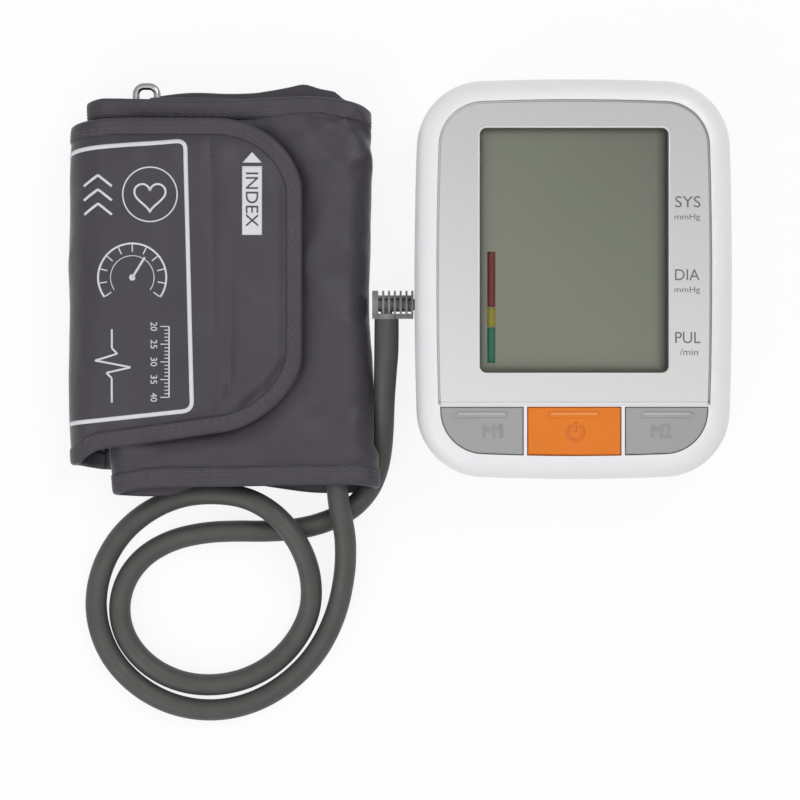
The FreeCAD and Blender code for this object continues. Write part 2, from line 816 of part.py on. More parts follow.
def make_display():
    margin = "2 * lens_margin"
    lens = rounded_prism("window_lens", f"window_width + {margin}", f"window_length + {margin}",
                         "window_corner", ("lens_floor", "deck_underside"))
    node("window_lens", lens)
    glass = rounded_prism("lcd_glass", "lcd_width", "lcd_length", "lcd_margin",
                          ("lcd_floor", "lcd_top"))
    node("lcd_glass", glass)
    frame = rounded_prism("lcd_frame_block", "frame_width", "frame_length", "window_corner",
                          ("board_top", "lcd_top"))
    seat = rounded_prism("lcd_seat", "lcd_width + 2 * lcd_frame_gap", "lcd_length + 2 * lcd_frame_gap",
                         "lcd_margin + lcd_frame_gap", ("lcd_floor", "lcd_top + cut_overrun"))
    opening = rounded_prism("lcd_frame_opening", "lcd_width - 2 * lcd_frame_ledge",
                            "lcd_length - 2 * lcd_frame_ledge", "lcd_margin",
                            ("board_top - cut_overrun", "lcd_top + cut_overrun"))
    node("lcd_frame", less("lcd_frame", frame, [seat, opening]))
    strips = []
    reach = "lcd_length / 2 - lcd_frame_ledge - contact_strip_gap - contact_strip_width / 2"
    for number, side in enumerate((1, -1), start=1):
        strips.append(block(
            f"contact_strip_{number}",
            around("monitor_x", "window_width - 2 * window_corner"),
            around(f"window_y + {side} * ({reach})", "contact_strip_width"),
            ("board_top", "lcd_floor"),
        ))
    node("contact_strips", group("contact_strips", strips))


def make_board():
    plate = block(
        "board_plate",
        around("monitor_x", "2 * board_half_width"),
        ("board_front", "board_back"),
        ("board_floor", "board_top"),
    )
    through = ("board_floor - cut_overrun", "board_top + cut_overrun")
    cuts = []
    for number, across in enumerate(case_screw_spots(), start=1):
        cuts.append(rod(f"board_notch_{number}", "boss_radius + board_post_gap", "Z", through, across))
    for number, across in enumerate(board_posts(), start=1):
        cuts.append(rod(f"board_hole_{number}", "board_screw_radius + screw_gap", "Z", through, across))
    node("main_board", less("main_board", plate, cuts))
    screws = []
    for number, across in enumerate(board_posts(), start=1):
        screws.append(screw(f"board_screw_{number}", "board_screw_radius", "board_screw_head_radius",
                            "board_screw_head_height", "board_floor",
                            "board_top + board_screw_bite", across))
    node("board_screws", group("board_screws", screws))
    buzzer = rod("buzzer_can", "buzzer_radius", "Z", ("board_floor - buzzer_height", "board_floor"),
                 ("monitor_x + buzzer_offset_x", "buzzer_offset_y"))
    hole = rod("buzzer_hole", "buzzer_hole_radius", "Z",
               ("board_floor - buzzer_height - cut_overrun", "board_floor - buzzer_height / 2"),
               ("monitor_x + buzzer_offset_x", "buzzer_offset_y"))
    node("buzzer", less("buzzer", buzzer, [hole]))


def screw(name, shank, head, head_height, seat, tip, across):
    # A pan head below its seat and the shank above it.
    cap = rod(name + "_head", head, "Z", (f"({seat}) - {head_height}", seat), across)
    return joined(name, [cap, rod(name + "_shank", shank, "Z", (seat, tip), across)])


def make_case_screws():
    screws = []
    for number, across in enumerate(case_screw_spots(), start=1):
        screws.append(screw(f"case_screw_{number}", "screw_radius", "screw_head_radius",
                            "screw_head_height", "screw_seat", "boss_joint + screw_bite", across))
    node("case_screws", group("case_screws", screws))


def make_feet():
    for number, across in enumerate(foot_spots(), start=1):
        disc = rod(f"foot_disc_{number}", "foot_radius", "Z", ("0", "foot_height + foot_recess"), across)
        foot = doc.addObject("Part::Chamfer", f"foot_{number}")
        foot.Base = disc
        doc.recompute()
        bevel = value("foot_recess / 2")
        index = 1 + next(i for i, edge in enumerate(disc.Shape.Edges) if edge.BoundBox.ZMax < bevel)
        foot.Edges = [(index, bevel, bevel)]
        node(f"foot_{number}", foot)


def make_keys():
    switches = []
    for name, span, middle in zip(key_names, key_spans, key_middles):
        cap = key_prism(name + "_block", span, "0", ("flange_floor", "key_top"))
        rounding = doc.addObject("Part::Fillet", name + "_cap")
        rounding.Base = cap
        radius = value("key_edge_round")
        rounding.Edges = [(int(edge[4:]), radius, radius) for edge in edges_at(cap, value("key_top"))]
        flange = key_prism(name + "_flange", span, "key_flange", ("flange_floor", "flange_top"))
        stem = rod(name + "_stem", "stem_radius", "Z",
                   ("plunger_top", "flange_floor + key_flange_thickness / 2"), (middle, "key_y"))
        ridge = rounded_prism(
            name + "_ridge", "key_ridge_length", "key_ridge_width", "key_ridge_round",
            ("key_top - key_ridge_height", "key_top + key_ridge_height"),
            middle, "key_back - key_ridge_drop",
        )
        node(name, joined(name, [rounding, flange, stem, ridge]))
        plunger = rod(name + "_plunger", "plunger_radius", "Z",
                      ("switch_top - plunger_depth", "plunger_top"), (middle, "key_y"))
        node(name.replace("_key", "_plunger"), plunger)
        body = block(name + "_switch_body", around(middle, "switch_width"),
                     around("key_y", "switch_width"), ("board_top", "switch_top"))
        well = rod(name + "_switch_well", "plunger_radius + plunger_gap", "Z",
                   ("switch_top - plunger_depth - key_travel - plunger_gap", "switch_top + cut_overrun"),
                   (middle, "key_y"))
        switches.append(less(name + "_switch", body, [well]))
    node("key_switches", group("key_switches", switches))


def make_batteries():
    for number in range(1, 5):
        x = f"monitor_x + ({number} - 2.5) * cell_pitch"
        start = "bay_front + contact_space"
        facing_back = number % 2 == 1
        can = (start, f"{start} + cell_length - cell_nub_height")
        nub = (f"{start} + cell_length / 2", f"{start} + cell_length")
        if not facing_back:
            can = (f"{start} + cell_nub_height", f"{start} + cell_length")
            nub = (start, f"{start} + cell_length / 2")
        cell = joined(f"battery_{number}", [
            rod(f"cell_can_{number}", "cell_radius", "Y", can, (x, "cell_z")),
            rod(f"cell_nub_{number}", "cell_nub_radius", "Y", nub, (x, "cell_z")),
        ])
        node(f"battery_{number}", cell)
    leaves = []
    for end, wall_line, side in (("front", "bay_front", 1), ("back", "bay_back", -1)):
        for number in range(1, 5):
            x = f"monitor_x + ({number} - 2.5) * cell_pitch"
            name = f"contact_{end}_{number}"
            plate = block(
                name + "_plate",
                around(x, "contact_width"),
                around(f"{wall_line} + {side} * contact_plate / 2", "contact_plate"),
                around("cell_z", "contact_height"),
            )
            spring = rod(name + "_spring", "cell_nub_radius", "Y",
                         around(f"{wall_line} + {side} * contact_space / 2", "contact_space"),
                         (x, "cell_z"))
            leaves.append(joined(name, [plate, spring]))
    node("battery_contacts", group("battery_contacts", leaves))


def make_battery_door():
    width = "bay_width - 2 * door_gap"
    z = ("foot_height", "floor_top")
    plate = block("door_plate", around("monitor_x", width), ("bay_front + door_gap", "hinge_y"), z)
    barrel = rod("door_barrel", "wall / 2", "X", around("monitor_x", width), ("hinge_y", "hinge_z"))
    pins = rod("door_pins", "door_pin_radius", "X", around("monitor_x", f"{width} + 2 * door_pin_length"),
               ("hinge_y", "hinge_z"))
    latch = block(
        "door_latch",
        around("monitor_x", "latch_width"),
        ("bay_front + latch_clearance", "bay_front + latch_clearance + latch_thickness"),
        ("floor_top - wall / 2", "floor_top + latch_height"),
    )
    thumb = block(
        "door_thumb",
        around("monitor_x", "thumb_recess_width"),
        ("bay_front + latch_clearance + latch_thickness",
         "bay_front + latch_clearance + latch_thickness + thumb_recess_length"),
        ("0", "foot_height + thumb_recess_depth"),
    )
    door = joined("door_solid", [plate, barrel, pins, latch])
    node("battery_door", less("battery_door", door, [thumb]))


def make_air_lines():
    level = ("socket_y", "socket_height")
    through = ("monitor_left - cut_overrun", "socket_back + barb_length + cut_overrun")
    socket = joined("socket_solid", [
        rod("socket_sleeve", "socket_radius", "X",
            ("monitor_left + socket_seat_gap", "socket_back"), level),
        rod("socket_flange", "socket_flange_radius", "X",
            ("wall_inside + socket_seat_gap", "wall_inside + socket_seat_gap + socket_flange_thickness"),
            level),
        rod("socket_barb", "barb_radius", "X", ("wall_inside", "socket_back + barb_length"), level),
    ])
    mouth = rod("socket_mouth", "socket_bore_radius", "X",
                ("monitor_left - cut_overrun", "monitor_left + socket_bore_depth"), level)
    way = rod("socket_bore", "line_bore_radius", "X", through, level)
    node("air_socket", less("air_socket", socket, [mouth, way]))
    hub_reach = "hub_width / 2 + barb_length"
    arm_x = (f"hub_x - ({hub_reach})", f"hub_x + {hub_reach}")
    hub = joined("hub_solid", [
        block("hub_block", around("hub_x", "hub_width"), around("socket_y", "hub_width"),
              around("socket_height", "hub_width")),
        rod("hub_cross", "barb_radius", "X", arm_x, level),
        rod("hub_front_arm", "barb_radius", "Y", (f"socket_y - ({hub_reach})", "socket_y"),
            ("hub_x", "socket_height")),
        rod("hub_top_arm", "barb_radius", "Z", ("socket_height", f"socket_height + {hub_reach}"),
            ("hub_x", "socket_y")),
    ])
    past = f"{hub_reach} + cut_overrun"
    ways = [
        block("hub_hollow", around("hub_x", "hub_chamber"), around("socket_y", "hub_chamber"),
              around("socket_height", "hub_chamber")),
        rod("hub_cross_bore", "line_bore_radius", "X", (f"hub_x - ({past})", f"hub_x + {past}"), level),
        rod("hub_front_bore", "line_bore_radius", "Y", (f"socket_y - ({past})", "socket_y"),
            ("hub_x", "socket_height")),
        rod("hub_top_bore", "line_bore_radius", "Z", ("socket_height", f"socket_height + {past}"),
            ("hub_x", "socket_y")),
    ]
    node("air_manifold", less("air_manifold", hub, ways))
    node("socket_tube", pipe("socket_tube", "tube_radius", "tube_bore_radius", "X",
                             ("socket_back + tube_end_gap", "hub_x - hub_width / 2 - tube_end_gap"), level))
    node("valve_tube", pipe("valve_tube", "tube_radius", "tube_bore_radius", "X",
                            ("hub_x + hub_width / 2 + tube_end_gap", "valve_left - tube_end_gap"), level))
    rise = ("socket_height + hub_width / 2 + tube_end_gap", "sensor_floor - tube_end_gap")
    node("sensor_tube", pipe("sensor_tube", "tube_radius", "tube_bore_radius", "Z", rise,
                             ("hub_x", "socket_y")))
    valve = joined("exhaust_valve", [
        block("valve_body", ("valve_left", "valve_left + valve_length"), around("socket_y", "valve_width"),
              around("socket_height", "valve_width")),
        rod("valve_barb", "barb_radius", "X", ("valve_left - barb_length", "valve_left"), level),
    ])
    node("exhaust_valve", valve)
    sensor = joined("pressure_sensor", [
        block("sensor_body", around("hub_x", "sensor_width"), around("socket_y", "sensor_width"),
              ("sensor_floor", "board_floor")),
        rod("sensor_barb", "barb_radius", "Z",
            ("sensor_floor - tube_end_gap - barb_length / 2", "sensor_floor"), ("hub_x", "socket_y")),
    ])
    node("pressure_sensor", sensor)
    make_pump_tube()


def make_pump_tube():
    # The bent line from the manifold to the pump: a straight, a quarter turn and a straight.
    body = new_body("pump_tube")
    spine = new_sketch(body, "XY_Plane")
    reach = "socket_y - hub_width / 2 - tube_end_gap"
    drop = value(f"pump_y + pump_tube_bend - ({reach})")
    bend = value("pump_tube_bend")
    tail = value("pump_tube_tail")
    first = add_line(spine, (0, 0), (0, drop))
    turn = add_arc(spine, bend, drop, bend, math.pi, 1.5 * math.pi)
    last = add_line(spine, (bend, drop - bend), (bend + tail, drop - bend))
    spine.addConstraint(Sketcher.Constraint("Coincident", first, 1, -1, 1))
    spine.addConstraint(Sketcher.Constraint("Vertical", first))
    spine.addConstraint(Sketcher.Constraint("Horizontal", last))
    spine.addConstraint(Sketcher.Constraint("Tangent", first, 2, turn, 1))
    spine.addConstraint(Sketcher.Constraint("Tangent", turn, 2, last, 1))
    rule(spine, "Radius", turn, text="pump_tube_bend")
    rule(spine, "DistanceY", first, 2, first, 1, text=f"({reach}) - pump_y - pump_tube_bend")
    rule(spine, "DistanceX", last, 1, last, 2, text="pump_tube_tail")
    section = new_sketch(body, "XZ_Plane")
    for radius in ("tube_radius", "tube_bore_radius"):
        ring = section.addGeometry(Part.Circle(FreeCAD.Vector(), up, value(radius)))
        section.addConstraint(Sketcher.Constraint("Coincident", ring, 3, -1, 1))
        rule(section, "Radius", ring, text=radius)
    sweep = body.newObject("PartDesign::AdditivePipe", "pump_tube_sweep")
    sweep.Profile = section
    sweep.Spine = (spine, [])
    node("pump_tube", place(body, "hub_x", reach, "socket_height"))


def make_pump():
    centre = ("pump_y", "socket_height")
    head = joined("pump_head", [
        rod("pump_chamber", "pump_radius", "X", ("pump_head_left", "motor_left"), centre),
        rod("pump_cap", "pump_cap_radius", "X", ("pump_left", "pump_head_left"), centre),
        rod("pump_barb", "barb_radius", "X", ("pump_left - barb_length", "pump_left"), centre),
    ])
    node("pump_head", head)
    motor = joined("pump_motor", [
        rod("motor_can", "motor_radius", "X", ("motor_left", "motor_left + motor_length"), centre),
        rod("motor_boss", "motor_boss_radius", "X",
            ("motor_left + motor_length", "motor_left + motor_length + motor_boss_length"), centre),
    ])
    node("pump_motor", motor)


def band_spine(body):
    # The way of the strip, seen from the front: down round the left fold, along the back
    # layer, round the right fold, back along the front layer, in round the front fold, and
    # to and fro once more to the eye.
    sketch = new_sketch(body, "XZ_Plane")
    half = math.pi / 2
    folds = [
        ("left_fold_x", "back_layer_z + left_fold_radius", "left_fold_radius", half, 3 * half),
        ("right_fold_x", "right_fold_z", "right_fold_radius", -half, half),
        ("front_fold_x", "inner_two_z", "front_fold_radius", half, 3 * half),
        ("right_fold_x", "right_fold_z", "inner_fold_radius", -half, half),
    ]
    spots = [(value(x), value(z), value(r)) for x, z, r, *_ in folds]
    runs = [
        ((spots[0][0], spots[0][1] - spots[0][2]), (spots[1][0], spots[1][1] - spots[1][2])),
        ((spots[1][0], spots[1][1] + spots[1][2]), (spots[2][0], spots[2][1] + spots[2][2])),
        ((spots[2][0], spots[2][1] - spots[2][2]), (spots[3][0], spots[3][1] - spots[3][2])),
        ((spots[3][0], spots[3][1] + spots[3][2]), (value("eye_x"), spots[3][1] + spots[3][2])),
    ]
    parts = []
    for (x, z, radius, start, end), spot, run in zip(folds, spots, runs):
        bend = add_arc(sketch, *spot, start, end)
        parts += [bend, add_line(sketch, *run)]
        rule(sketch, "Radius", bend, text=radius)
        rule(sketch, "DistanceX", -1, 1, bend, 3, text=x)
        rule(sketch, "DistanceY", -1, 1, bend, 3, text=z)
    lines = parts[1::2]
    order = [(parts[0], 2, lines[0], 1), (lines[0], 2, parts[2], 1), (parts[2], 2, lines[1], 1),
             (lines[1], 2, parts[4], 1), (parts[4], 2, lines[2], 1), (lines[2], 2, parts[6], 1),
             (parts[6], 2, lines[3], 1)]
    for joint in order:
        sketch.addConstraint(Sketcher.Constraint("Tangent", *joint))
    sketch.addConstraint(Sketcher.Constraint("Vertical", parts[0], 1, parts[0], 3))
    rule(sketch, "DistanceX", -1, 1, lines[3], 2, text="eye_x")
    return sketch


def make_band():
    body = new_body("band_strip")
    spine = band_spine(body)
    section = new_sketch(body, "YZ_Plane")
    section.setExpression("AttachmentOffset.Base.z", formula("left_fold_x"))
    low, high = value("cuff_front_edge"), value("cuff_back_edge")
    floor, top = value("flap_floor"), value("flap_top")
    spots = [(low, floor), (high, floor), (high, top), (low, top)]
    sums = [("cuff_front_edge", "flap_floor"), ("cuff_back_edge", "flap_floor"),
            ("cuff_back_edge", "flap_top"), ("cuff_front_edge", "flap_top")]
    sides = [add_line(section, a, b) for a, b in zip(spots, spots[1:] + spots[:1])]
    for side, follower, (y, z) in zip(sides, sides[1:] + sides[:1], sums):
        section.addConstraint(Sketcher.Constraint("Coincident", side, 2, follower, 1))
        rule(section, "DistanceX", -1, 1, side, 1, text=y)
        rule(section, "DistanceY", -1, 1, side, 1, text=z)
    sweep = body.newObject("PartDesign::AdditivePipe", "band_sweep")
    sweep.Profile = section
    sweep.Spine = (spine, [])
    doc.recompute()
    strip_area = value("cuff_width * band_thickness")
    print("band volume over section times length", sweep.Shape.Volume / (strip_area * spine.Shape.Length))
    along = ("cuff_front_edge", "cuff_back_edge")
    past = ("cuff_front_edge - cut_overrun", "cuff_back_edge + cut_overrun")
    eye = rod("eye_sleeve", "eye_radius + eye_wall", "Y", along, ("eye_x", "inner_two_z"))
    cuts = [rod("eye_bore", "eye_radius", "Y", past, ("eye_x", "inner_two_z"))]
    step = "front_fold_x - front_fold_radius - band_thickness / 2 - fold_step"
    sides = (
        ("back", ("cuff_back_edge - fold_back_inset", past[1])),
        ("front", (past[0], "cuff_front_edge + fold_front_inset")),
    )
    for name, y in sides:
        cuts.append(block(f"fold_side_{name}", ("cuff_left - cut_overrun", step), y,
                          ("-cut_overrun", "flap_top + cut_overrun")))
        cuts.append(block(f"fold_top_{name}", ("cuff_left - cut_overrun", "flap_left"), y,
                          ("hook_floor", "flap_top + cut_overrun")))
    cuts.append(block("ring_end_relief",
                      ("eye_x - eye_radius - eye_wall - cut_overrun", "eye_x + ring_relief"),
                      (past[0], "ring_y - ring_length / 2 + ring_wire / 2 + ring_corner + ring_clearance"),
                      around("inner_two_z", "band_thickness + 2 * eye_wall + roll_gap / 2")))
    between = ("back_layer_z + band_thickness / 2 + roll_gap / 2",
               "front_layer_z - band_thickness / 2 - roll_gap / 8")
    cuts.append(block("port_pocket_cut", around("port_x", "2 * (port_radius + port_pocket_depth / 2)"),
                      (past[0], "port_back"), between))
    cuts.append(rod("port_pocket_fold", "inner_fold_radius + band_thickness / 2 + roll_gap / 8", "Y",
                    (past[0], "port_back"), ("right_fold_x", "right_fold_z")))
    cuts.append(block(
        "bladder_cavity",
        ("bladder_right - bladder_length - bladder_gap", "bladder_right + bladder_gap"),
        ("bladder_front - bladder_gap", "bladder_back + bladder_gap"),
        around("inner_two_z", "bladder_thickness + 2 * bladder_gap"),
    ))
    cuts.append(block(
        "tongue_way",
        around("port_x", "port_tongue_width + 2 * bladder_gap"),
        ("port_back - cut_overrun", "bladder_front"),
        around("inner_two_z", "bladder_thickness + 2 * bladder_gap"),
    ))
    node("cuff_band", less("cuff_band", joined("band_with_eye", [body, eye]), cuts))


def make_cuff_fittings():
    bladder = block(
        "cuff_bladder",
        ("bladder_right - bladder_length", "bladder_right"),
        ("bladder_front", "bladder_back"),
        around("inner_two_z", "bladder_thickness"),
    )
    node("cuff_bladder", bladder)
    collar = rod("port_collar", "port_radius", "Y", ("port_front", "port_back - bladder_gap"),
                 ("port_x", "port_z"))
    tongue = block(
        "port_tongue",
        around("port_x", "port_tongue_width"),
        ("port_back - port_length / 2", "bladder_front - bladder_gap"),
        around("inner_two_z", "bladder_thickness"),
    )
    node("cuff_port", joined("cuff_port", [collar, tongue]))
    patch_y = ("flap_front_edge + patch_margin", "flap_back_edge - patch_margin")
    loop = block("loop_patch", around("patch_x", "patch_length"), patch_y,
                 ("front_layer_top", "front_layer_top + patch_thickness"))
    node("loop_patch", loop)
    hook = block("hook_patch", around("patch_x", "patch_length"), patch_y, ("hook_floor", "flap_floor"))
    node("hook_patch", hook)


def make_ring():
    body = new_body("cuff_ring")
    spine = rounded_outline(body, "XY_Plane", "ring_width - ring_wire", "ring_length - ring_wire",
                            "ring_corner")
    section = new_sketch(body, "XZ_Plane")
    wire = section.addGeometry(Part.Circle(FreeCAD.Vector(value("(ring_width - ring_wire) / 2"), 0, 0),
                                           up, value("ring_wire / 2")))
    rule(section, "Radius", wire, text="ring_wire / 2")
    rule(section, "DistanceX", -1, 1, wire, 3, text="(ring_width - ring_wire) / 2")
    section.addConstraint(Sketcher.Constraint("PointOnObject", wire, 3, -1))
    sweep = body.newObject("PartDesign::AdditivePipe", "ring_sweep")
    sweep.Profile = section
    sweep.Spine = (spine, [])
    node("cuff_ring", place(body, "ring_x", "ring_y", "inner_two_z"))


def make_flap():
    # The free end of the strip: square at the fold, two round corners, a slanted front edge.
    body = new_body("cuff_flap")
    sketch = new_sketch(body, "XY_Plane")
    left, right = value("flap_left"), value("flap_right")
    back, front, r = value("flap_back_edge"), value("flap_front_edge"), value("flap_corner")
    slant = math.radians(value("flap_slant"))
    rise = front + (right - left) * math.tan(slant)
    fold = add_line(sketch, (left, back), (left, front))
    lower = add_line(sketch, (left, front), (right - r, rise))
    lower_bend = add_arc(sketch, right - r, rise + r, r, slant - math.pi / 2, 0)
    end = add_line(sketch, (right, rise + r), (right, back - r))
    upper_bend = add_arc(sketch, right - r, back - r, r, 0, math.pi / 2)
    upper = add_line(sketch, (right - r, back), (left, back))
    chain(sketch, [lower, lower_bend, end, upper_bend, upper], closed=False)
    sketch.addConstraint(Sketcher.Constraint("Coincident", upper, 2, fold, 1))
    sketch.addConstraint(Sketcher.Constraint("Coincident", fold, 2, lower, 1))
    sketch.addConstraint(Sketcher.Constraint("Vertical", fold))
    sketch.addConstraint(Sketcher.Constraint("Vertical", end))
    sketch.addConstraint(Sketcher.Constraint("Horizontal", upper))
    rule(sketch, "Radius", lower_bend, text="flap_corner")
    rule(sketch, "Radius", upper_bend, text="flap_corner")
    rule(sketch, "DistanceX", -1, 1, fold, 1, text="flap_left")
    rule(sketch, "DistanceX", -1, 1, end, 1, text="flap_right")
    rule(sketch, "DistanceY", -1, 1, fold, 1, text="flap_back_edge")
    rule(sketch, "DistanceY", fold, 2, -1, 1, text="-flap_front_edge")
    index = sketch.addConstraint(Sketcher.Constraint("Angle", -1, 1, lower, 1, slant))
    sketch.setExpression(f"Constraints[{index}]", formula("flap_slant") + " * 1 deg")
    pad(body, sketch, "band_thickness")
    node("cuff_flap", place(body, "0", "0", "flap_floor"))


def make_plug():
    level = ("socket_y", "socket_height")
    pieces = [
        rod("plug_barrel", "plug_radius", "X", ("plug_end", "plug_face"), level),
        rod("plug_end_disc", "plug_rib_radius", "X", ("plug_end", "plug_end + plug_end_thickness"), level),
        rod("plug_nose", "plug_nose_radius", "X", ("plug_end", "plug_face + plug_nose_length"), level),
        rod("plug_outlet_core", "plug_nose_radius", "Y", ("outlet_front", "socket_y"),
            ("outlet_x", "socket_height")),
        rod("plug_outlet", "plug_outlet_radius", "Y",
            ("outlet_front", "socket_y - plug_rib_radius + plug_bar_thickness"),
            ("outlet_x", "socket_height")),
        block("plug_bar", ("plug_end", "plug_face"),
              ("socket_y - plug_rib_radius", "socket_y - plug_rib_radius + plug_bar_thickness"),
              around("socket_height", "plug_bar_width")),
        block("plug_spine", ("plug_end", "plug_face"),
              ("socket_y + plug_spine_reach - plug_spine_thickness", "socket_y + plug_spine_reach"),
              around("socket_height", "plug_bar_width")),
    ]
    for number in range(6):
        start = f"plug_face - plug_rib_thickness - {number} * plug_rib_pitch"
        pieces.append(rod(f"plug_rib_{number + 1}", "plug_rib_radius", "X",
                          (start, f"{start} + plug_rib_thickness"), level))
    solid = joined("plug_solid", pieces)
    ways = [
        rod("plug_bore", "plug_bore_radius", "X",
            ("outlet_x", "plug_face + plug_nose_length + cut_overrun"), level),
        rod("plug_outlet_bore", "plug_bore_radius", "Y", ("outlet_front - cut_overrun", "socket_y"),
            ("outlet_x", "socket_height")),
    ]
    seal_span = ("seal_x", "seal_x + seal_length")
    groove = pipe("plug_groove", "plug_nose_radius + cut_overrun", "plug_nose_radius - seal_groove",
                  "X", seal_span, level)
    node("air_plug", less("air_plug", solid, ways + [groove]))
    seal = pipe("plug_seal", "socket_bore_radius - seal_gap", "plug_nose_radius - seal_groove + seal_gap",
                "X", around("seal_x + seal_length / 2", "seal_length - 2 * seal_gap"), level)
    node("plug_seal", seal)


def rounded_route(points):
    # Straight runs joined by tangent arcs, each as large as 0.45 of its shorter run allows.
    edges = []
    radii = []
    last = points[0]
    for before, corner, after in zip(points, points[1:], points[2:]):
        inward = (before - corner).normalize()
        outward = (after - corner).normalize()
        half_turn = (math.pi - inward.getAngle(outward)) / 2
        reach = run_share * min(before.distanceToPoint(corner), after.distanceToPoint(corner))
        radius = reach / math.tan(half_turn)
        start = corner + inward * reach
        end = corner + outward * reach
        middle_way = (inward + outward).normalize()
        middle = corner + middle_way * (radius / math.cos(half_turn) - radius)
        edges.append(Part.LineSegment(last, start).toShape())
        edges.append(Part.Arc(start, middle, end).toShape())
        radii.append(radius)
        last = end
    edges.append(Part.LineSegment(last, points[-1]).toShape())
    return Part.Wire(edges), radii


def make_hose():
    start = FreeCAD.Vector(value("outlet_x"), value("outlet_front"), value("socket_height"))
    end = FreeCAD.Vector(value("port_x"), value("port_front"), value("port_z"))
    square_out = start - FreeCAD.Vector(0, hose_end_run, 0)
    square_in = end - FreeCAD.Vector(0, hose_end_run, 0)
    points = [start, square_out] + [FreeCAD.Vector(*spot) for spot in hose_route] + [square_in, end]
    spine, radii = rounded_route(points)
    ring = Part.Circle(start, FreeCAD.Vector(0, -1, 0), value("hose_radius"))
    skin = spine.makePipeShell([Part.Wire(ring.toShape())], True, False)
    hose = doc.addObject("Part::Feature", "air_hose")
    hose.Shape = skin
    area = math.pi * value("hose_radius") ** 2
    print("hose length", round(spine.Length, 1), "least bend", [round(radius) for radius in radii])
    print("hose volume over section times length", skin.Volume / (area * spine.Length))
    print("hose least gap to itself", round(least_gap(spine), 2))
    node("air_hose", hose)


def least_gap(spine):
    # The least distance between strands of the hose that are not neighbours along it.
    step = value("hose_radius") / 2
    spots = spine.discretize(Distance=step)
    apart = int(6 * value("hose_radius") / step)
    nearest = min(
        first.distanceToPoint(second)
        for place_one, first in enumerate(spots)
        for second in spots[place_one + apart:]
    )
    return nearest - 2 * value("hose_radius")


make_front_cover()
make_rear_cover()
make_face_panel()
make_display()
make_board()
make_case_screws()
make_feet()
make_keys()
make_batteries()
make_battery_door()
make_air_lines()
make_pump()
make_band()
make_cuff_fittings()
make_ring()
make_flap()
make_plug()
make_hose()
doc.recompute()

failed = [item.Name for item in doc.Objects if {"Invalid", "Error"} & set(item.State)]
for name, item in nodes.items():
    if item.Shape.isNull() or not item.Shape.isValid():
        failed.append(name)
if failed:
    raise RuntimeError("not built: " + ", ".join(failed))
os.makedirs("parts", exist_ok=True)
for name, item in nodes.items():
    item.Shape.exportStep(f"parts/{name}.step")
print(len(nodes), "pieces written")
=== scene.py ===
import json

import bmesh
import bpy
import numpy as np
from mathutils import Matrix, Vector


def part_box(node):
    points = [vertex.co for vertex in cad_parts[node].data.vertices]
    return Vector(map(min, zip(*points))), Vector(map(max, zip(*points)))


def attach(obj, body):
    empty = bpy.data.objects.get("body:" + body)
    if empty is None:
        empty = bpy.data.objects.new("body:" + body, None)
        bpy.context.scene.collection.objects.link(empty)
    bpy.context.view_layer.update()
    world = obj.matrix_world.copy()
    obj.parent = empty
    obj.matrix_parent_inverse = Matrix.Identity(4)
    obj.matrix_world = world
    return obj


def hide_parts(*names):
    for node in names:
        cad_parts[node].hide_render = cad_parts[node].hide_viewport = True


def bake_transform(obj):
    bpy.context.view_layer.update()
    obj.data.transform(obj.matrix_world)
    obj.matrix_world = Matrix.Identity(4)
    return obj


# A blood pressure monitor beside its folded cuff. Shapes are worked out in millimetres, in
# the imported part's own frame, and go into the meshes in metres.

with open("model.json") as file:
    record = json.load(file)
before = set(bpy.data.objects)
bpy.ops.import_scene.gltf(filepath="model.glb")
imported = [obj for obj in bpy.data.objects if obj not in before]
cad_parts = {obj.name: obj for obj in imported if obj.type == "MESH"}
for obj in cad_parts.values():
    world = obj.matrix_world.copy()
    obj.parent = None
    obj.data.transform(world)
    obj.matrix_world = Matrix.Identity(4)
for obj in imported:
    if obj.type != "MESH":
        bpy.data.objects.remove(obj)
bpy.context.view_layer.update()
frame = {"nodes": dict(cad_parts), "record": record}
nodes = frame["nodes"]
mm = 0.001
print("frame loaded", len(nodes), "nodes")


def boxOf(node):
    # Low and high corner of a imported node, in millimetres
    low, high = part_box(node)
    return np.array(low) / mm, np.array(high) / mm


def smoothStep(low, high, x):
    # 0 below low and 1 above high, with the cubic 3tt - 2ttt between
    t = np.clip((x - low) / (high - low), 0, 1)
    return t * t * (3 - 2 * t)


def plateau(rise, full, fade, end, x):
    # 0, up to 1 between rise and full, and down to 0 again between fade and end
    return smoothStep(rise, full, x) * (1 - smoothStep(fade, end, x))


def easeThrough(stations, values, x):
    # A smooth line through the stations: a cubic between each two, level at both ends and where
    # the values turn, else with the harmonic mean of the slopes on either side
    at, value = np.array(stations, float), np.array(values, float)
    rise = np.diff(value) / np.diff(at)
    before, after = rise[:-1], rise[1:]
    same = before * after > 0
    slope = np.zeros(len(at))
    slope[1:-1] = np.where(same, 2 * before * after / np.where(same, before + after, 1), 0)
    i = np.clip(np.searchsorted(at, x) - 1, 0, len(at) - 2)
    wide = at[i + 1] - at[i]
    t = np.clip((x - at[i]) / wide, 0, 1)
    step = value[i] + (value[i + 1] - value[i]) * t * t * (3 - 2 * t)
    return step + wide * t * (1 - t) * ((1 - t) * slope[i] - t * slope[i + 1])


def ripple(x, y, waves):
    # A sum of sines: height, wave length across, wave length along, phase
    total = 0 * (x + y)
    for height, across, along, phase in waves:
        total = total + height * np.sin(2 * np.pi * (x / across + y / along) + phase)
    return total


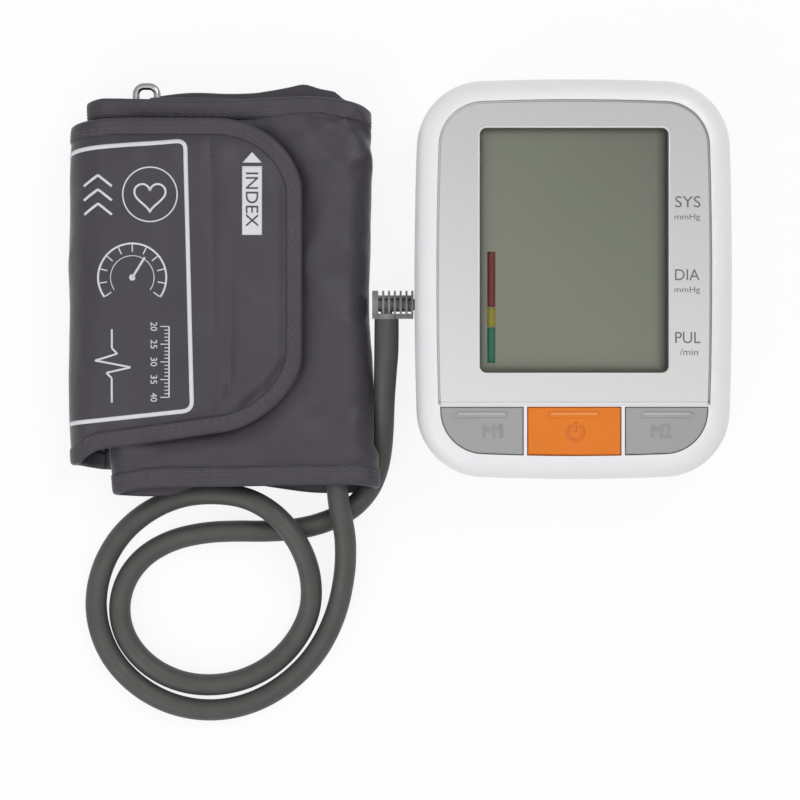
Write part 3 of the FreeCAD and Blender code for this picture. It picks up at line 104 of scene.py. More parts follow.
def crease(x, y, start, end, width, height):
    # Height times a bell of the distance from a line, fading out at both of its ends
    dx, dy = end[0] - start[0], end[1] - start[1]
    length = np.hypot(dx, dy)
    along = ((x - start[0]) * dx + (y - start[1]) * dy) / length**2
    off = ((x - start[0]) * dy - (y - start[1]) * dx) / length
    return height * np.exp(-((off / width) ** 2)) * plateau(-0.2, 0.25, 0.75, 1.2, along)


crinkleWaves = {
    "across": [(3.1, 9.7, 1.0), (1.7, 4.3, 2.0)],   # bends: height, wave length over 2 pi, share of the turn
    "along": [(3.4, 11.9, 1.3), (1.5, 5.1, 1.0)],
    "patch": (13, 17, 2.1),                         # where it fades: both wave lengths, share of the turn
    "folds": [(31, 47, 0, 1), (-23, 38, 1.9, 0.7), (14, -61, 4.1, 0.5), (9, 19, 2.7, 0.25)],
    "blunt": 0.01,                                  # rounds the ridges' tops
}


def crinkle(s, y, height, turn):
    # Creased cloth: ridges 1 - |sin|, squared, on lines that other sines bend, fading in and out;
    # a fold has its wave lengths across and along, its phase and its share
    bentS, bentY = s, y
    for size, long, share in crinkleWaves["across"]:
        bentS = bentS + size * np.sin(y / long + share * turn)
    for size, long, share in crinkleWaves["along"]:
        bentY = bentY + size * np.sin(s / long + share * turn)
    patchS, patchY, share = crinkleWaves["patch"]
    patch = 0.5 + 0.5 * np.sin(bentS / patchS + turn) * np.sin(bentY / patchY + share * turn)
    total = 0 * patch
    for across, along, phase, share in crinkleWaves["folds"]:
        wave = np.sin(np.pi * (bentS / across + bentY / along) + phase + turn)
        total = total + share * (1 - np.sqrt(wave**2 + crinkleWaves["blunt"])) ** 2
    return height * patch * total


def gridQuads(rows, columns, loop=False, ring=False):
    # Quads of a grid of points, closed round its columns where it is a tube, and round its
    # rows where it is a ring
    index = np.arange(rows * columns).reshape(rows, columns)
    if ring:
        index = np.vstack([index, index[:1]])
    if loop:
        index = np.hstack([index, index[:, :1]])
    corners = [index[:-1, :-1], index[:-1, 1:], index[1:, 1:], index[1:, :-1]]
    return np.stack(corners, axis=-1).reshape(-1, 4)


def tubeFaces(rows, columns):
    # A closed tube: its quads and one face over each end
    quads = gridQuads(rows, columns, loop=True).tolist()
    last = (rows - 1) * columns
    return quads + [list(range(columns))[::-1], list(range(last, last + columns))]


def runAlong(s, y):
    # Length so far at each point of a line
    return np.concatenate([[0], np.cumsum(np.hypot(np.diff(s), np.diff(y)))])


def headingOf(s, y):
    # Unit direction at each point of a line
    ahead = np.stack([np.gradient(s), np.gradient(y)])
    return ahead / np.hypot(*ahead)


def thereAndBack(outer, inner):
    # A grid's columns, and then another's from the last to the first
    return np.hstack([outer, inner[:, ::-1]])


def pointsOf(mesh):
    spots = np.empty(len(mesh.vertices) * 3, np.float32)
    mesh.vertices.foreach_get("co", spots)
    return spots.reshape(-1, 3).astype(float)


def settle(piece, body, node=None):
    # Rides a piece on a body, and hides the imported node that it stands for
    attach(piece, body)
    if node:
        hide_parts(node)


def putPiece(name, points, faces, finish, uv=None, shell=True):
    # Makes a smooth mesh object from points in millimetres; a shell's faces turn outward
    mesh = bpy.data.meshes.new(name)
    mesh.from_pydata((np.reshape(points, (-1, 3)) * mm).tolist(), [], faces)
    if uv is not None:
        corner = np.empty(len(mesh.loops), np.int32)
        mesh.loops.foreach_get("vertex_index", corner)
        layer = mesh.uv_layers.new(name="lay")
        layer.data.foreach_set("uv", (np.reshape(uv, (-1, 2))[corner] * mm).astype(np.float32).ravel())
    if shell:
        work = bmesh.new()
        work.from_mesh(mesh)
        bmesh.ops.recalc_face_normals(work, faces=work.faces)
        work.to_mesh(mesh)
        work.free()
    mesh.polygons.foreach_set("use_smooth", np.ones(len(mesh.polygons), bool))
    mesh.materials.append(finish)
    mesh.update()
    piece = bpy.data.objects.new(name, mesh)
    bpy.context.scene.collection.objects.link(piece)
    return piece


# Finishes

def ink(red, green, blue):
    # A colour as a screen shows it, 0 to 255, in linear light
    part = np.array([red, green, blue]) / 255
    return tuple(np.where(part < 0.04045, part / 12.92, ((part + 0.055) / 1.055) ** 2.4))


def startFinish(name, colour, roughness, **plain):
    # A Principled surface; plain values go on its own sockets
    finish = bpy.data.materials.new(name)
    finish.use_nodes = True
    shader = finish.node_tree.nodes["Principled BSDF"]
    shader.inputs["Base Color"].default_value = (*colour, 1)
    shader.inputs["Roughness"].default_value = roughness
    for socket, number in plain.items():
        shader.inputs[socket.replace("_", " ")].default_value = number
    return finish, shader


def addNode(finish, kind, settings=None, **inputs):
    # A node with its settings; an input is a number or another node's socket
    node = finish.node_tree.nodes.new("ShaderNode" + kind)
    for name, choice in (settings or {}).items():
        setattr(node, name, choice)
    for name, given in inputs.items():
        socket = node.inputs[int(name[1:])] if name[1:].isdigit() else node.inputs[name.replace("_", " ")]
        if isinstance(given, bpy.types.NodeSocket):
            finish.node_tree.links.new(given, socket)
        else:
            socket.default_value = given
    return node


def joinSockets(finish, out, into):
    finish.node_tree.links.new(out, into)


def place(finish, kind="Object", scale=(1, 1, 1)):
    # Coordinates of the piece, stretched by scale
    coords = addNode(finish, "TexCoord")
    return addNode(finish, "Mapping", Vector=coords.outputs[kind], Scale=scale).outputs["Vector"]


def noise(finish, where, size, detail=2.0, rough=0.5):
    # Noise whose grains are about size millimetres across
    node = addNode(finish, "TexNoise", Vector=where, Scale=1000 / size, Detail=detail, Roughness=rough)
    return node.outputs["Fac"]


def tint(finish, shader, factor, dark, light):
    # Base colour from dark to light by a factor
    mix = addNode(finish, "Mix", {"data_type": "RGBA"}, i0=factor)
    mix.inputs[6].default_value = (*dark, 1)
    mix.inputs[7].default_value = (*light, 1)
    joinSockets(finish, mix.outputs[2], shader.inputs["Base Color"])
    return mix.outputs[2]


def remap(finish, factor, low, high, first=0.0, last=1.0, kind="LINEAR"):
    # A factor's low to high made first to last
    return addNode(finish, "MapRange", {"interpolation_type": kind}, i0=factor, i1=low, i2=high,
                   i3=first, i4=last).outputs[0]


def spread(finish, factor, low, high):
    # A noise's usual 0.3 to 0.7 stretched to low to high
    return remap(finish, factor, 0.3, 0.7, low, high)


def reckon(finish, operation, *parts):
    # Result of a Math node
    inputs = {f"i{i}": part for i, part in enumerate(parts)}
    return addNode(finish, "Math", {"operation": operation}, **inputs).outputs[0]


def ribs(finish, where, direction, pitch):
    # Waves a pitch apart, in millimetres
    return addNode(finish, "TexWave", {"bands_direction": direction}, Vector=where,
                   Scale=1000 / pitch / 6.28).outputs["Fac"]


def relief(finish, shader, height, depth, strength=1.0, under=None):
    # Bump of depth millimetres from a height of 0 to 1, over another bump if one is given
    bump = addNode(finish, "Bump", Strength=strength, Distance=depth * mm, Height=height)
    if under is not None:
        joinSockets(finish, under, bump.inputs["Normal"])
    joinSockets(finish, bump.outputs["Normal"], shader.inputs["Normal"])
    return bump.outputs["Normal"]


def shade(colour, share):
    return tuple(part * share for part in colour)


def mottle(finish, shader, grain, colour, dark, light):
    # Base colour from a dark to a light share of a colour, by a noise
    tint(finish, shader, spread(finish, grain, 0, 1), shade(colour, dark), shade(colour, light))


def mouldedFinish(name, colour, roughness, grain, depth, vary=0.05, **plain):
    # Moulded plastic or rubber: slow colour drift, spark-eroded grain and a patchy gloss
    finish, shader = startFinish(name, colour, roughness, **plain)
    where = place(finish)
    mottle(finish, shader, noise(finish, where, 18, 3), colour, 1 - vary, 1 + vary)
    gloss = spread(finish, noise(finish, where, 6, 4), roughness - 0.05, roughness + 0.05)
    joinSockets(finish, gloss, shader.inputs["Roughness"])
    relief(finish, shader, noise(finish, where, grain, 3), depth)
    return finish


def metalFinish(name, colour, roughness, streak, depth):
    # Bare metal: fine drawn lines along X and a little unevenness
    finish, shader = startFinish(name, colour, roughness, Metallic=1.0)
    lines = noise(finish, place(finish, scale=(0.06, 1, 1)), streak, 4)
    mottle(finish, shader, lines, colour, 0.9, 1.05)
    joinSockets(finish, spread(finish, lines, roughness * 0.7, roughness * 1.3), shader.inputs["Roughness"])
    relief(finish, shader, lines, depth)
    return finish


def cornerSlope(finish, where, low, high, top, share=1.0):
    # The place's parts, and a number that falls from top to 0 as share * x + y goes from low to high
    spot = addNode(finish, "SeparateXYZ", Vector=where).outputs
    total = reckon(finish, "MULTIPLY_ADD", spot["X"], share, spot["Y"])
    return spot, remap(finish, total, low, high, top, 0.0)


panel = {
    "colour": (202, 202, 203),
    "tones": (0.78, 1.38),         # shares of the colour, darkest and lightest
    # painted shade: lighter at the lower left, darker at the upper right
    "slope": (-0.041, 0.093, 0.7, 0.26),
    "flake": 0.22,
    "flakeShare": 0.15,
}


def panelFinish():
    # Silver lacquer: fine flakes that differ in tone, with painted shade that makes it darker to one corner,
    # under a thin clear coat
    colour = ink(*panel["colour"])
    finish, shader = startFinish("panelSilver", colour, 0.45, Coat_Weight=0.12, Coat_Roughness=0.15)
    where = place(finish)
    flakes = addNode(finish, "TexVoronoi", Vector=where, Scale=1000 / panel["flake"]).outputs["Color"]
    grey = addNode(finish, "RGBToBW", Color=flakes).outputs[0]
    # Painted shade: the tone falls towards the upper right corner
    slope = cornerSlope(finish, where, *panel["slope"])[1]
    tone = reckon(finish, "MULTIPLY_ADD", grey, panel["flakeShare"], slope)
    tint(finish, shader, tone, *(shade(colour, share) for share in panel["tones"]))
    relief(finish, shader, grey, 0.004)
    return finish


display = {
    "colour": (136, 140, 124),
    "tones": (0.66, 1.02),
    "slope": (0.03, 0.16, 1.0),
    "cloudShare": 0.3,
    # colour of the painted shadow along the window's sides
    "rimShadow": (50, 52, 45),
    "shadowRims": [("X", 30.2, 32.0, 0.35), ("X", 98.8, 92.8, 0.95),      # painted shadow on each side: axis, outer and inner line, darkness
             ("Y", 54.2, 52.2, 0.1), ("Y", -34.4, -30.6, 0.7)],
}


def displayFinish():
    # Grey-green liquid crystal glass: painted shade that darkens its tone towards one corner, and a painted
    # shadow on each side that runs from its outer line, where it is darkest, in to its inner line
    colour = ink(*display["colour"])
    finish, shader = startFinish("displayGlass", colour, 0.35, Specular_IOR_Level=0.25)
    where = place(finish)
    # Painted shade: darker towards the upper right, mixed with a slow random cloud of tone
    spot, slope = cornerSlope(finish, where, *display["slope"])
    cloudAndShade = reckon(finish, "MULTIPLY_ADD", noise(finish, where, 55, 2), display["cloudShare"], slope)
    tone = tint(finish, shader, cloudAndShade, *(shade(colour, share) for share in display["tones"]))
    # Painted shadow along each side of the window
    rimShadow = 0.0
    for axis, outer, inner, share in display["shadowRims"]:
        rim = remap(finish, spot[axis], inner * mm, outer * mm, 0.0, share, "SMOOTHSTEP")
        rimShadow = reckon(finish, "MAXIMUM", rimShadow, rim)
    mix = addNode(finish, "Mix", {"data_type": "RGBA"}, i0=rimShadow, i6=tone, i7=(*ink(*display["rimShadow"]), 1))
    joinSockets(finish, mix.outputs[2], shader.inputs["Base Color"])
    relief(finish, shader, noise(finish, where, 9, 2), 0.01)
    return finish


def lensFinish():
    # Clear window: all but a little of it lets the display through
    finish, shader = startFinish("lensClear", (0.02, 0.02, 0.02), 0.04, Alpha=0.06, Specular_IOR_Level=0.6)
    relief(finish, shader, noise(finish, place(finish), 30, 2), 0.01)
    return finish


def wovenFinish(name, colour, thread, roughness=0.45, sheen=1.0):
    # Plain-weave nylon on the strip's own length and width: warp and weft by turns
    finish, shader = startFinish(name, colour, roughness, Sheen_Weight=sheen, Sheen_Roughness=0.22,
                                 Specular_IOR_Level=0.5)
    lay = place(finish, "UV")
    checks = addNode(finish, "TexChecker", Vector=lay, Scale=1000 / thread).outputs["Fac"]
    over = addNode(finish, "Mix", {"data_type": "FLOAT"}, i0=checks, i2=ribs(finish, lay, "X", thread),
                   i3=ribs(finish, lay, "Y", thread)).outputs[0]
    where = place(finish)
    mottle(finish, shader, noise(finish, where, 24, 4), colour, 0.93, 1.07)
    slack = relief(finish, shader, noise(finish, where, 11, 3), 0.22)
    relief(finish, shader, over, 0.05, under=slack)
    return finish


def tapeFinish():
    # Binding tape: close ribs across it, a little lighter than the cloth
    colour = ink(62, 58, 65)
    finish, shader = startFinish("bindingTape", colour, 0.55, Sheen_Weight=0.35, Sheen_Roughness=0.28,
                                 Specular_IOR_Level=0.4)
    mottle(finish, shader, noise(finish, place(finish), 7, 4), colour, 0.9, 1.1)
    relief(finish, shader, ribs(finish, place(finish, "UV"), "X", 0.45), 0.03)
    return finish


def hoseFinish():
    # Matt grey rubber with talc bloom in patches
    colour = ink(74, 74, 72)
    finish, shader = startFinish("hoseRubber", colour, 0.5, Specular_IOR_Level=0.4)
    where = place(finish)
    mottle(finish, shader, noise(finish, where, 14, 5, 0.65), colour, 0.9, 1.12)
    joinSockets(finish, spread(finish, noise(finish, where, 5, 4), 0.44, 0.58), shader.inputs["Roughness"])
    relief(finish, shader, noise(finish, where, 0.5, 3), 0.02)
    return finish


def inkFinish(name, colour):
    # Screen-printed ink: thin in places, where the cloth shows its grain
    finish, shader = startFinish(name, colour, 0.6)
    where = place(finish)
    mottle(finish, shader, noise(finish, where, 0.9, 4, 0.7), colour, 0.88, 1.0)
    relief(finish, shader, noise(finish, where, 0.4, 2), 0.03)
    return finish


def pileFinish(name, colour, tuft):
    # Loop or hook tape: a dense field of small tufts, with painted shade that darkens the gaps between them
    finish, shader = startFinish(name, colour, 0.8, Sheen_Weight=0.5, Sheen_Roughness=0.5)
    where = place(finish)
    cells = addNode(finish, "TexVoronoi", Vector=where, Scale=1000 / tuft).outputs["Distance"]
    tint(finish, shader, cells, shade(colour, 1.25), shade(colour, 0.6))
    relief(finish, shader, cells, -0.25)
    return finish


def boardFinish():
    # Circuit board: solder mask over a grid of copper runs
    colour = ink(24, 92, 58)
    finish, shader = startFinish("boardGreen", colour, 0.35)
    runs = addNode(finish, "TexBrick", Vector=place(finish), Scale=180.0, Mortar_Size=0.012)
    tint(finish, shader, runs.outputs["Fac"], colour, shade(colour, 1.7))
    relief(finish, shader, runs.outputs["Fac"], 0.03)
    return finish


cell = {"sleeve": (38, 40, 46), "band": (176, 120, 62), "bandY": (45.2, 45.6)}


def cellFinish():
    # A cell's jacket: dark sleeve with a copper-coloured band at one end
    finish, shader = startFinish("cellJacket", ink(*cell["sleeve"]), 0.32)
    along = addNode(finish, "SeparateXYZ", Vector=place(finish)).outputs["Y"]
    band = remap(finish, along, *(edge * mm for edge in cell["bandY"]))
    tint(finish, shader, band, ink(*cell["sleeve"]), ink(*cell["band"]))
    relief(finish, shader, noise(finish, place(finish), 2, 3), 0.01)
    return finish


clothColour = ink(53, 49, 56)
finishes = {
    "housing_white": mouldedFinish("housingWhite", ink(238, 238, 240), 0.36, 0.35, 0.008, 0.012),
    "panel_silver": panelFinish(),
    "key_grey": mouldedFinish("keyGrey", ink(163, 163, 164), 0.5, 0.4, 0.01, 0.02, Specular_IOR_Level=0.3),
    "key_orange": mouldedFinish("keyOrange", ink(229, 124, 34), 0.5, 0.4, 0.01, 0.03, Specular_IOR_Level=0.25),
    "lens_clear": lensFinish(),
    "display_glass": displayFinish(),
    "inner_plastic": mouldedFinish("innerPlastic", ink(206, 206, 202), 0.5, 0.6, 0.02),
    "dark_plastic": mouldedFinish("darkPlastic", ink(48, 48, 50), 0.48, 0.5, 0.02),
    "board_green": boardFinish(),
    "steel": metalFinish("steel", ink(196, 196, 194), 0.3, 0.3, 0.01),
    # The wire's colour is darker than bare chrome: painted shade for the dark things it would reflect
    "chrome_wire": metalFinish("chromeWire", ink(156, 156, 158), 0.16, 0.6, 0.004),
    "cell_jacket": cellFinish(),
    "foot_rubber": mouldedFinish("footRubber", ink(88, 88, 90), 0.75, 0.5, 0.03),
    "seal_rubber": mouldedFinish("sealRubber", ink(40, 40, 42), 0.5, 0.4, 0.02),
    "tube_silicone": mouldedFinish("tubeSilicone", ink(216, 218, 216), 0.4, 1.5, 0.02),
    "hose_rubber": hoseFinish(),
    "plug_plastic": mouldedFinish("plugPlastic", ink(128, 128, 128), 0.45, 0.4, 0.015),
    "cuff_fabric": wovenFinish("cuffNylon", clothColour, 0.4),
    "loop_fabric": pileFinish("loopPile", ink(66, 63, 68), 0.7),
    "hook_fabric": pileFinish("hookPile", ink(58, 56, 60), 0.45),
    "bladder_rubber": mouldedFinish("bladderRubber", ink(52, 50, 50), 0.6, 0.8, 0.03),
}
for row in frame["record"]["subparts"]:
    painted = nodes[row["node"]].data.materials
    painted.clear()
    painted.append(finishes[row["material_slot"]])
print("finishes made", len(finishes))


# Camera, floor and light

view = {
    "height": 1400.0,      # camera above the floor
    "middle": (0.95, -44.0),
    "acrossFloor": 299.2,  # what the picture's width takes in at floor level
    "sensor": 36.0,
}
camera = bpy.data.cameras.new("camera")
camera.sensor_width = view["sensor"]
camera.lens = view["sensor"] * view["height"] / view["acrossFloor"]
camera.clip_start = 0.05
cameraObject = bpy.data.objects.new("camera", camera)
cameraObject.location = (view["middle"][0] * mm, view["middle"][1] * mm, view["height"] * mm)
bpy.context.scene.collection.objects.link(cameraObject)
bpy.context.scene.camera = cameraObject
bpy.context.scene.view_settings.view_transform = "Standard"

stage = {
    "half": 6000.0,
    "drop": 0.05,          # floor below the part's feet
    "floorColour": (0.98, 0.98, 0.98),
    "shadowShare": 0.13,   # of the floor's look that is the light on it
    "softLight": 0.45,
}


def whiteRays(owner):
    # 1 for rays that come from the camera, a mirror or clear glass, else 0
    path = addNode(owner, "LightPath").outputs
    either = reckon(owner, "MAXIMUM", path["Is Camera Ray"], path["Is Glossy Ray"])
    return reckon(owner, "MAXIMUM", either, path["Is Transmission Ray"])


def makeFloor():
    # A pale floor: mostly its own white to the camera, and for a share the light that falls on it
    corners = np.array([(-1, -1, 0), (1, -1, 0), (1, 1, 0), (-1, 1, 0)]) * stage["half"]
    finish, shader = startFinish("paleFloor", stage["floorColour"], 0.9)
    glow = addNode(finish, "Emission", Color=(1, 1, 1, 1), Strength=1.0)
    share = reckon(finish, "MULTIPLY", whiteRays(finish), 1 - stage["shadowShare"])
    blend = addNode(finish, "MixShader", i0=share, i1=shader.outputs[0], i2=glow.outputs[0])
    joinSockets(finish, blend.outputs[0], finish.node_tree.nodes["Material Output"].inputs["Surface"])
    floor = putPiece("paleFloor", corners - [0, 0, stage["drop"]], [[0, 1, 2, 3]], finish, shell=False)


def makeWorld():
    # Soft light from all round, and pale where the camera looks past the floor
    world = bpy.data.worlds.new("studio")
    bpy.context.scene.world = world
    world.use_nodes = True
    soft = world.node_tree.nodes["Background"]
    soft.inputs["Color"].default_value = (1, 1, 1, 1)
    soft.inputs["Strength"].default_value = stage["softLight"]
    pale = addNode(world, "Background", Strength=1.0)
    blend = addNode(world, "MixShader", i0=whiteRays(world), i1=soft.outputs[0], i2=pale.outputs[0])
    joinSockets(world, blend.outputs[0], world.node_tree.nodes["World Output"].inputs["Surface"])


lamps = {
    "keyLamp": {"at": (460, 520, 1150), "size": 480, "power": 4.4},
    "fillLamp": {"at": (-650, -800, 850), "size": 900, "power": 5.0},
    "topLamp": {"at": (-100, -100, 1900), "size": 1400, "power": 4.8},
}


def makeLamps():
    # Square lamps that face the origin
    for name, lamp in lamps.items():
        light = bpy.data.lights.new(name, "AREA")
        light.size = lamp["size"] * mm
        light.energy = lamp["power"]
        lampObject = bpy.data.objects.new(name, light)
        x, y, z = np.array(lamp["at"]) * mm
        lampObject.location = (x, y, z)
        lampObject.rotation_euler = (np.arctan2(np.hypot(x, y), z), 0, np.arctan2(-y, -x) - np.pi / 2)
        bpy.context.scene.collection.objects.link(lampObject)


makeFloor()
makeWorld()
makeLamps()
print("camera, floor and lamps set")


# Hose

hose = {
    "diameter": 8.0,
    "length": 595.0,
    "endSwell": (1.12, 1.14, 1.07),  # stretched over the plug's spigot
    "route": [
        (-4.0, -14.2, 17.0), (-4.0, -25.2, 17.0), (-4.4, -32.5, 15.6), (-5.0, -44.4, 11.8),
        (-5.3, -55.4, 7.6), (-6.1, -64.4, 4.8), (-7.8, -71.6, 4.1), (-10.9, -78.3, 4.1),
        (-17.5, -85.2, 4.1), (-27.6, -89.9, 4.1), (-38.0, -92.3, 4.1), (-49.0, -93.0, 4.1),
        (-60.6, -92.8, 4.1), (-72.4, -93.4, 4.1), (-84.6, -96.2, 4.1), (-95.2, -102.4, 4.1),
        (-102.0, -111.8, 4.1), (-104.2, -123.2, 4.1), (-100.8, -134.6, 4.1), (-92.0, -144.0, 4.1),
        (-80.6, -149.4, 4.1), (-68.4, -150.6, 4.1), (-56.4, -148.2, 4.1), (-45.8, -142.4, 4.1),
        (-37.2, -133.2, 4.3), (-32.0, -121.8, 6.0), (-32.0, -109.0, 10.0), (-36.2, -97.2, 13.6),
        (-44.2, -86.8, 13.6), (-55.2, -80.2, 10.6), (-68.2, -78.5, 6.6), (-81.4, -79.9, 4.4),
        (-93.8, -85.6, 4.1), (-104.2, -95.0, 4.1), (-111.2, -108.2, 4.1), (-113.0, -123.4, 4.1),
        (-108.2, -138.6, 4.1), (-97.6, -150.6, 4.1), (-83.8, -158.0, 4.1), (-68.4, -160.2, 4.1),
        (-53.4, -157.0, 4.1), (-40.2, -149.2, 4.1), (-29.6, -138.0, 4.2), (-22.6, -123.8, 5.6),
        (-19.4, -108.4, 9.4), (-19.1, -96.4, 12.6), (-20.5, -88.0, 13.3), (-22.2, -80.6, 13.2),
        (-22.6, -69.6, 13.2),
    ],
}


def makeHose():
    # One smooth spline with the route's points as its control points, and a round skin
    line = bpy.data.curves.new("airHose", "CURVE")
    line.dimensions = "3D"
    line.bevel_depth = hose["diameter"] / 2 * mm
    line.bevel_resolution = 9
    line.resolution_u = 10
    line.use_fill_caps = True
    route = np.array(hose["route"]) * mm
    spline = line.splines.new("NURBS")
    spline.points.add(len(route) - 1)
    spline.points.foreach_set("co", np.hstack([route, np.ones((len(route), 1))]).ravel())
    swell = np.ones(len(route))
    swell[:3] = hose["endSwell"]
    spline.points.foreach_set("radius", swell)
    spline.order_u = 3
    spline.use_endpoint_u = True
    piece = bpy.data.objects.new("airHose", line)
    bpy.context.scene.collection.objects.link(piece)
    line.materials.append(finishes["hose_rubber"])
    settle(piece, "cuff", "air_hose")


makeHose()
print("hose laid")


# Cuff: one padded strip folded flat, drawn as a path in the X-Z plane and carried along Y

cloth = {
    "half": 1.6,        # half the padded strip's thickness
    "edgeHalf": 0.8,    # half of it under the binding
    "grooveHalf": 0.4,  # half of it where the binding's seam pulls it in
    "foldHalf": 0.95,   # least half of it on a fold
    "pressed": 2.2,     # how far the flap presses the front layer in
    "pitch": 6.0,       # from one layer to the next
    "leftOut": 0.3,     # left fold's middle beyond the flap's solid
    "frontIn": 7.1,     # front layer's fold inside the left fold
    "tapeWidth": 6.8,
    "tapeThick": 0.55,
    "rows": (5.3, 4.1),  # stitches on the binding, from its outer edge
    # columns' distances from an edge
    "columns": np.array([0, 0.7, 2.4, 4.4, 5.8, 6.4, 6.8, 7.3, 7.8, 8.4, 9.2, 10.4, 12, 14, 16, 18.5]),
}
stitch = {
    "long": 2.1, "pitch": 3.2, "thick": 0.17, "sides": 6,
    "along": [-1, -0.88, -0.45, 0, 0.45, 0.88, 1],      # shares of half its length
    "round": [0.25, 0.7, 1, 1, 1, 0.7, 0.25],           # shares of its thickness
    "lift": [-0.22, -0.05, 0.08, 0.12, 0.08, -0.05, -0.22],
    "ahead": 0.5,                                       # the line's direction is taken this far on
}
eye = {"wire": 1.3, "room": 0.7, "lead": 17.0, "tail": 12.0, "drop": 0.3}   # the strip round the ring
bandLow, bandHigh = boxOf("cuff_band")
flapLow, flapHigh = boxOf("cuff_flap")
layer = bandLow[2] + cloth["half"] + cloth["pitch"] * np.arange(4)
flapLevel = flapHigh[2] - cloth["half"]
leftRadius = (flapLevel - layer[0]) / 2
rightRadius = (layer[3] - layer[0]) / 2
leftFold = flapLow[0] - cloth["leftOut"]
rightFold = bandHigh[0] - cloth["half"] - rightRadius
frontFold = leftFold + cloth["frontIn"]
eyeX = boxOf("cuff_ring")[1][0] - eye["wire"]
eyeRadius = eye["wire"] + eye["room"]


def walkPath(pieces, step=0.2):
    # Samples runs (x, z, x, z) and turns (x, z, radius, angle, angle) laid end to end:
    # length so far, x, z and heading, and the length at each end
    rows, marks = [], [0.0]
    for piece in pieces:
        if len(piece) == 4:
            startX, startZ, endX, endZ = piece
            size = np.hypot(endX - startX, endZ - startZ)
            share = np.linspace(0, 1, max(2, int(size / step)))
            x, z = startX + (endX - startX) * share, startZ + (endZ - startZ) * share
            heading = np.full(len(share), np.arctan2(endZ - startZ, endX - startX))
        else:
            middleX, middleZ, radius, first, last = piece
            size = radius * np.radians(abs(last - first))
            share = np.linspace(0, 1, max(2, int(size / step)))
            angle = np.radians(first + (last - first) * share)
            x, z = middleX + radius * np.cos(angle), middleZ + radius * np.sin(angle)
            heading = angle + np.sign(last - first) * np.pi / 2
        rows.append(np.stack([marks[-1] + size * share, x, z, heading]))
        marks.append(marks[-1] + size)
    rows = np.hstack(rows)
    rows[3] = np.unwrap(rows[3])
    return rows, marks


def onStrip(path, side, s, y, n):
    # The point at length s and width y, n off the path towards its outer side
    x, z, heading = (np.interp(s, path[0], row) for row in path[1:])
    return np.stack([x - side * n * np.sin(heading), y + 0 * x, z + side * n * np.cos(heading)], axis=-1)


def sheetFaces(rows, columns):
    # A flat tube of cloth: outer and inner side, and a strip of quads over each end
    around = 2 * columns
    across = np.arange(columns - 1)
    cap = np.stack([across, across + 1, around - 2 - across, around - 1 - across], axis=-1)
    return np.vstack([gridQuads(rows, around, loop=True), cap, cap + (rows - 1) * around]).tolist()


def clothHalf(edge, full, wide):
    # Half thickness by the distance from an edge: thin under the binding, least in the groove
    # beside it, then puffed up to full
    thin = np.minimum(cloth["edgeHalf"], full)
    thin = thin + (np.minimum(cloth["grooveHalf"], thin) - thin) * smoothStep(wide - 1, wide, edge)
    puff = 0.65 * smoothStep(wide + 0.3, wide + 3.4, edge) + 0.35 * smoothStep(wide + 2, wide + 14, edge)
    return thin + (full - thin) * puff


def sheetPiece(name, rows, low, high, columns, pointAt, halfAt, finish, wide):
    # Cloth between the edges low and high: even columns, and closer ones near the edges, at the
    # strip's own distances times this binding's share of its width
    near = cloth["columns"] * wide / cloth["tapeWidth"]
    reach = near[-1]
    share = np.linspace(0, 1, columns)[1:-1]
    y = np.hstack([low[:, None] + near, (low + reach)[:, None] + (high - low - 2 * reach)[:, None] * share,
                   high[:, None] - near[::-1]])
    s = np.repeat(rows[:, None], y.shape[1], axis=1)
    faces = sheetFaces(*s.shape)
    half = halfAt(s, y)
    s, y, n = thereAndBack(s, s), thereAndBack(y, y), thereAndBack(half, -half)
    return putPiece(name, pointAt(s, y, n), faces, finish, np.stack([s, y], axis=-1))


def tapePiece(name, s, y, inS, inY, pointAt, wide):
    # Binding folded over an edge: a U of tape whose legs lie on both sides of the cloth
    half, thick = cloth["edgeHalf"], cloth["tapeThick"]
    leg = [(wide, half - 0.5), (wide, half + 0.6 * thick), (wide - 0.3, half + thick),
           (wide * 0.75, half + thick), (wide * 0.4, half + 1.25 * thick), (0.9, half + 1.1 * thick),
           (0.1, half + 0.75 * thick), (-0.45, half * 0.55)]
    inner = [(1.0, -half + 0.25), (1.0, half - 0.25)]
    loop = np.array(leg + [(d, -n) for d, n in leg[::-1]] + inner)
    d, n = loop[:, 0], loop[:, 1]
    edgeS = s[:, None] + d * inS[:, None]
    edgeY = y[:, None] + d * inY[:, None]
    run = runAlong(s, y)
    around = np.cumsum(np.hypot(np.diff(d, prepend=d[0]), np.diff(n, prepend=n[0])))
    uv = np.stack([run[:, None] + 0 * d, around + 0 * run[:, None]], axis=-1)
    return putPiece(name, pointAt(edgeS, edgeY, n + 0 * edgeS), tubeFaces(len(s), len(loop)),
                    tapeColour, uv)


def stitchPiece(name, s, y, pointAt, n, finish):
    # Thread along a line of points: short rods with round ends, one for each pitch
    run = runAlong(s, y)
    middle = np.arange(stitch["pitch"], run[-1] - stitch["pitch"], stitch["pitch"])
    centre, ahead = (np.stack([np.interp(at, run, s), np.interp(at, run, y)], axis=-1)
                     for at in (middle, middle + stitch["ahead"]))
    ahead = ahead - centre
    ahead = ahead / np.linalg.norm(ahead, axis=1)[:, None]
    turn = np.linspace(0, 2 * np.pi, stitch["sides"] + 1)[:-1]
    radius = np.array(stitch["round"])[:, None] * stitch["thick"]
    aside = (radius * np.cos(turn)).ravel()
    lift = (np.array(stitch["lift"])[:, None] + radius * np.sin(turn)).ravel()
    along = np.repeat(np.array(stitch["along"]) * stitch["long"] / 2, stitch["sides"])
    pointS = centre[:, :1] + along * ahead[:, :1] - aside * ahead[:, 1:]
    pointY = centre[:, 1:] + along * ahead[:, 1:] + aside * ahead[:, :1]
    single = tubeFaces(len(radius), stitch["sides"])
    faces = [[corner + len(along) * i for corner in face] for i in range(len(middle)) for face in single]
    return putPiece(name, pointAt(pointS, pointY, n + lift + 0 * pointS), faces, finish)


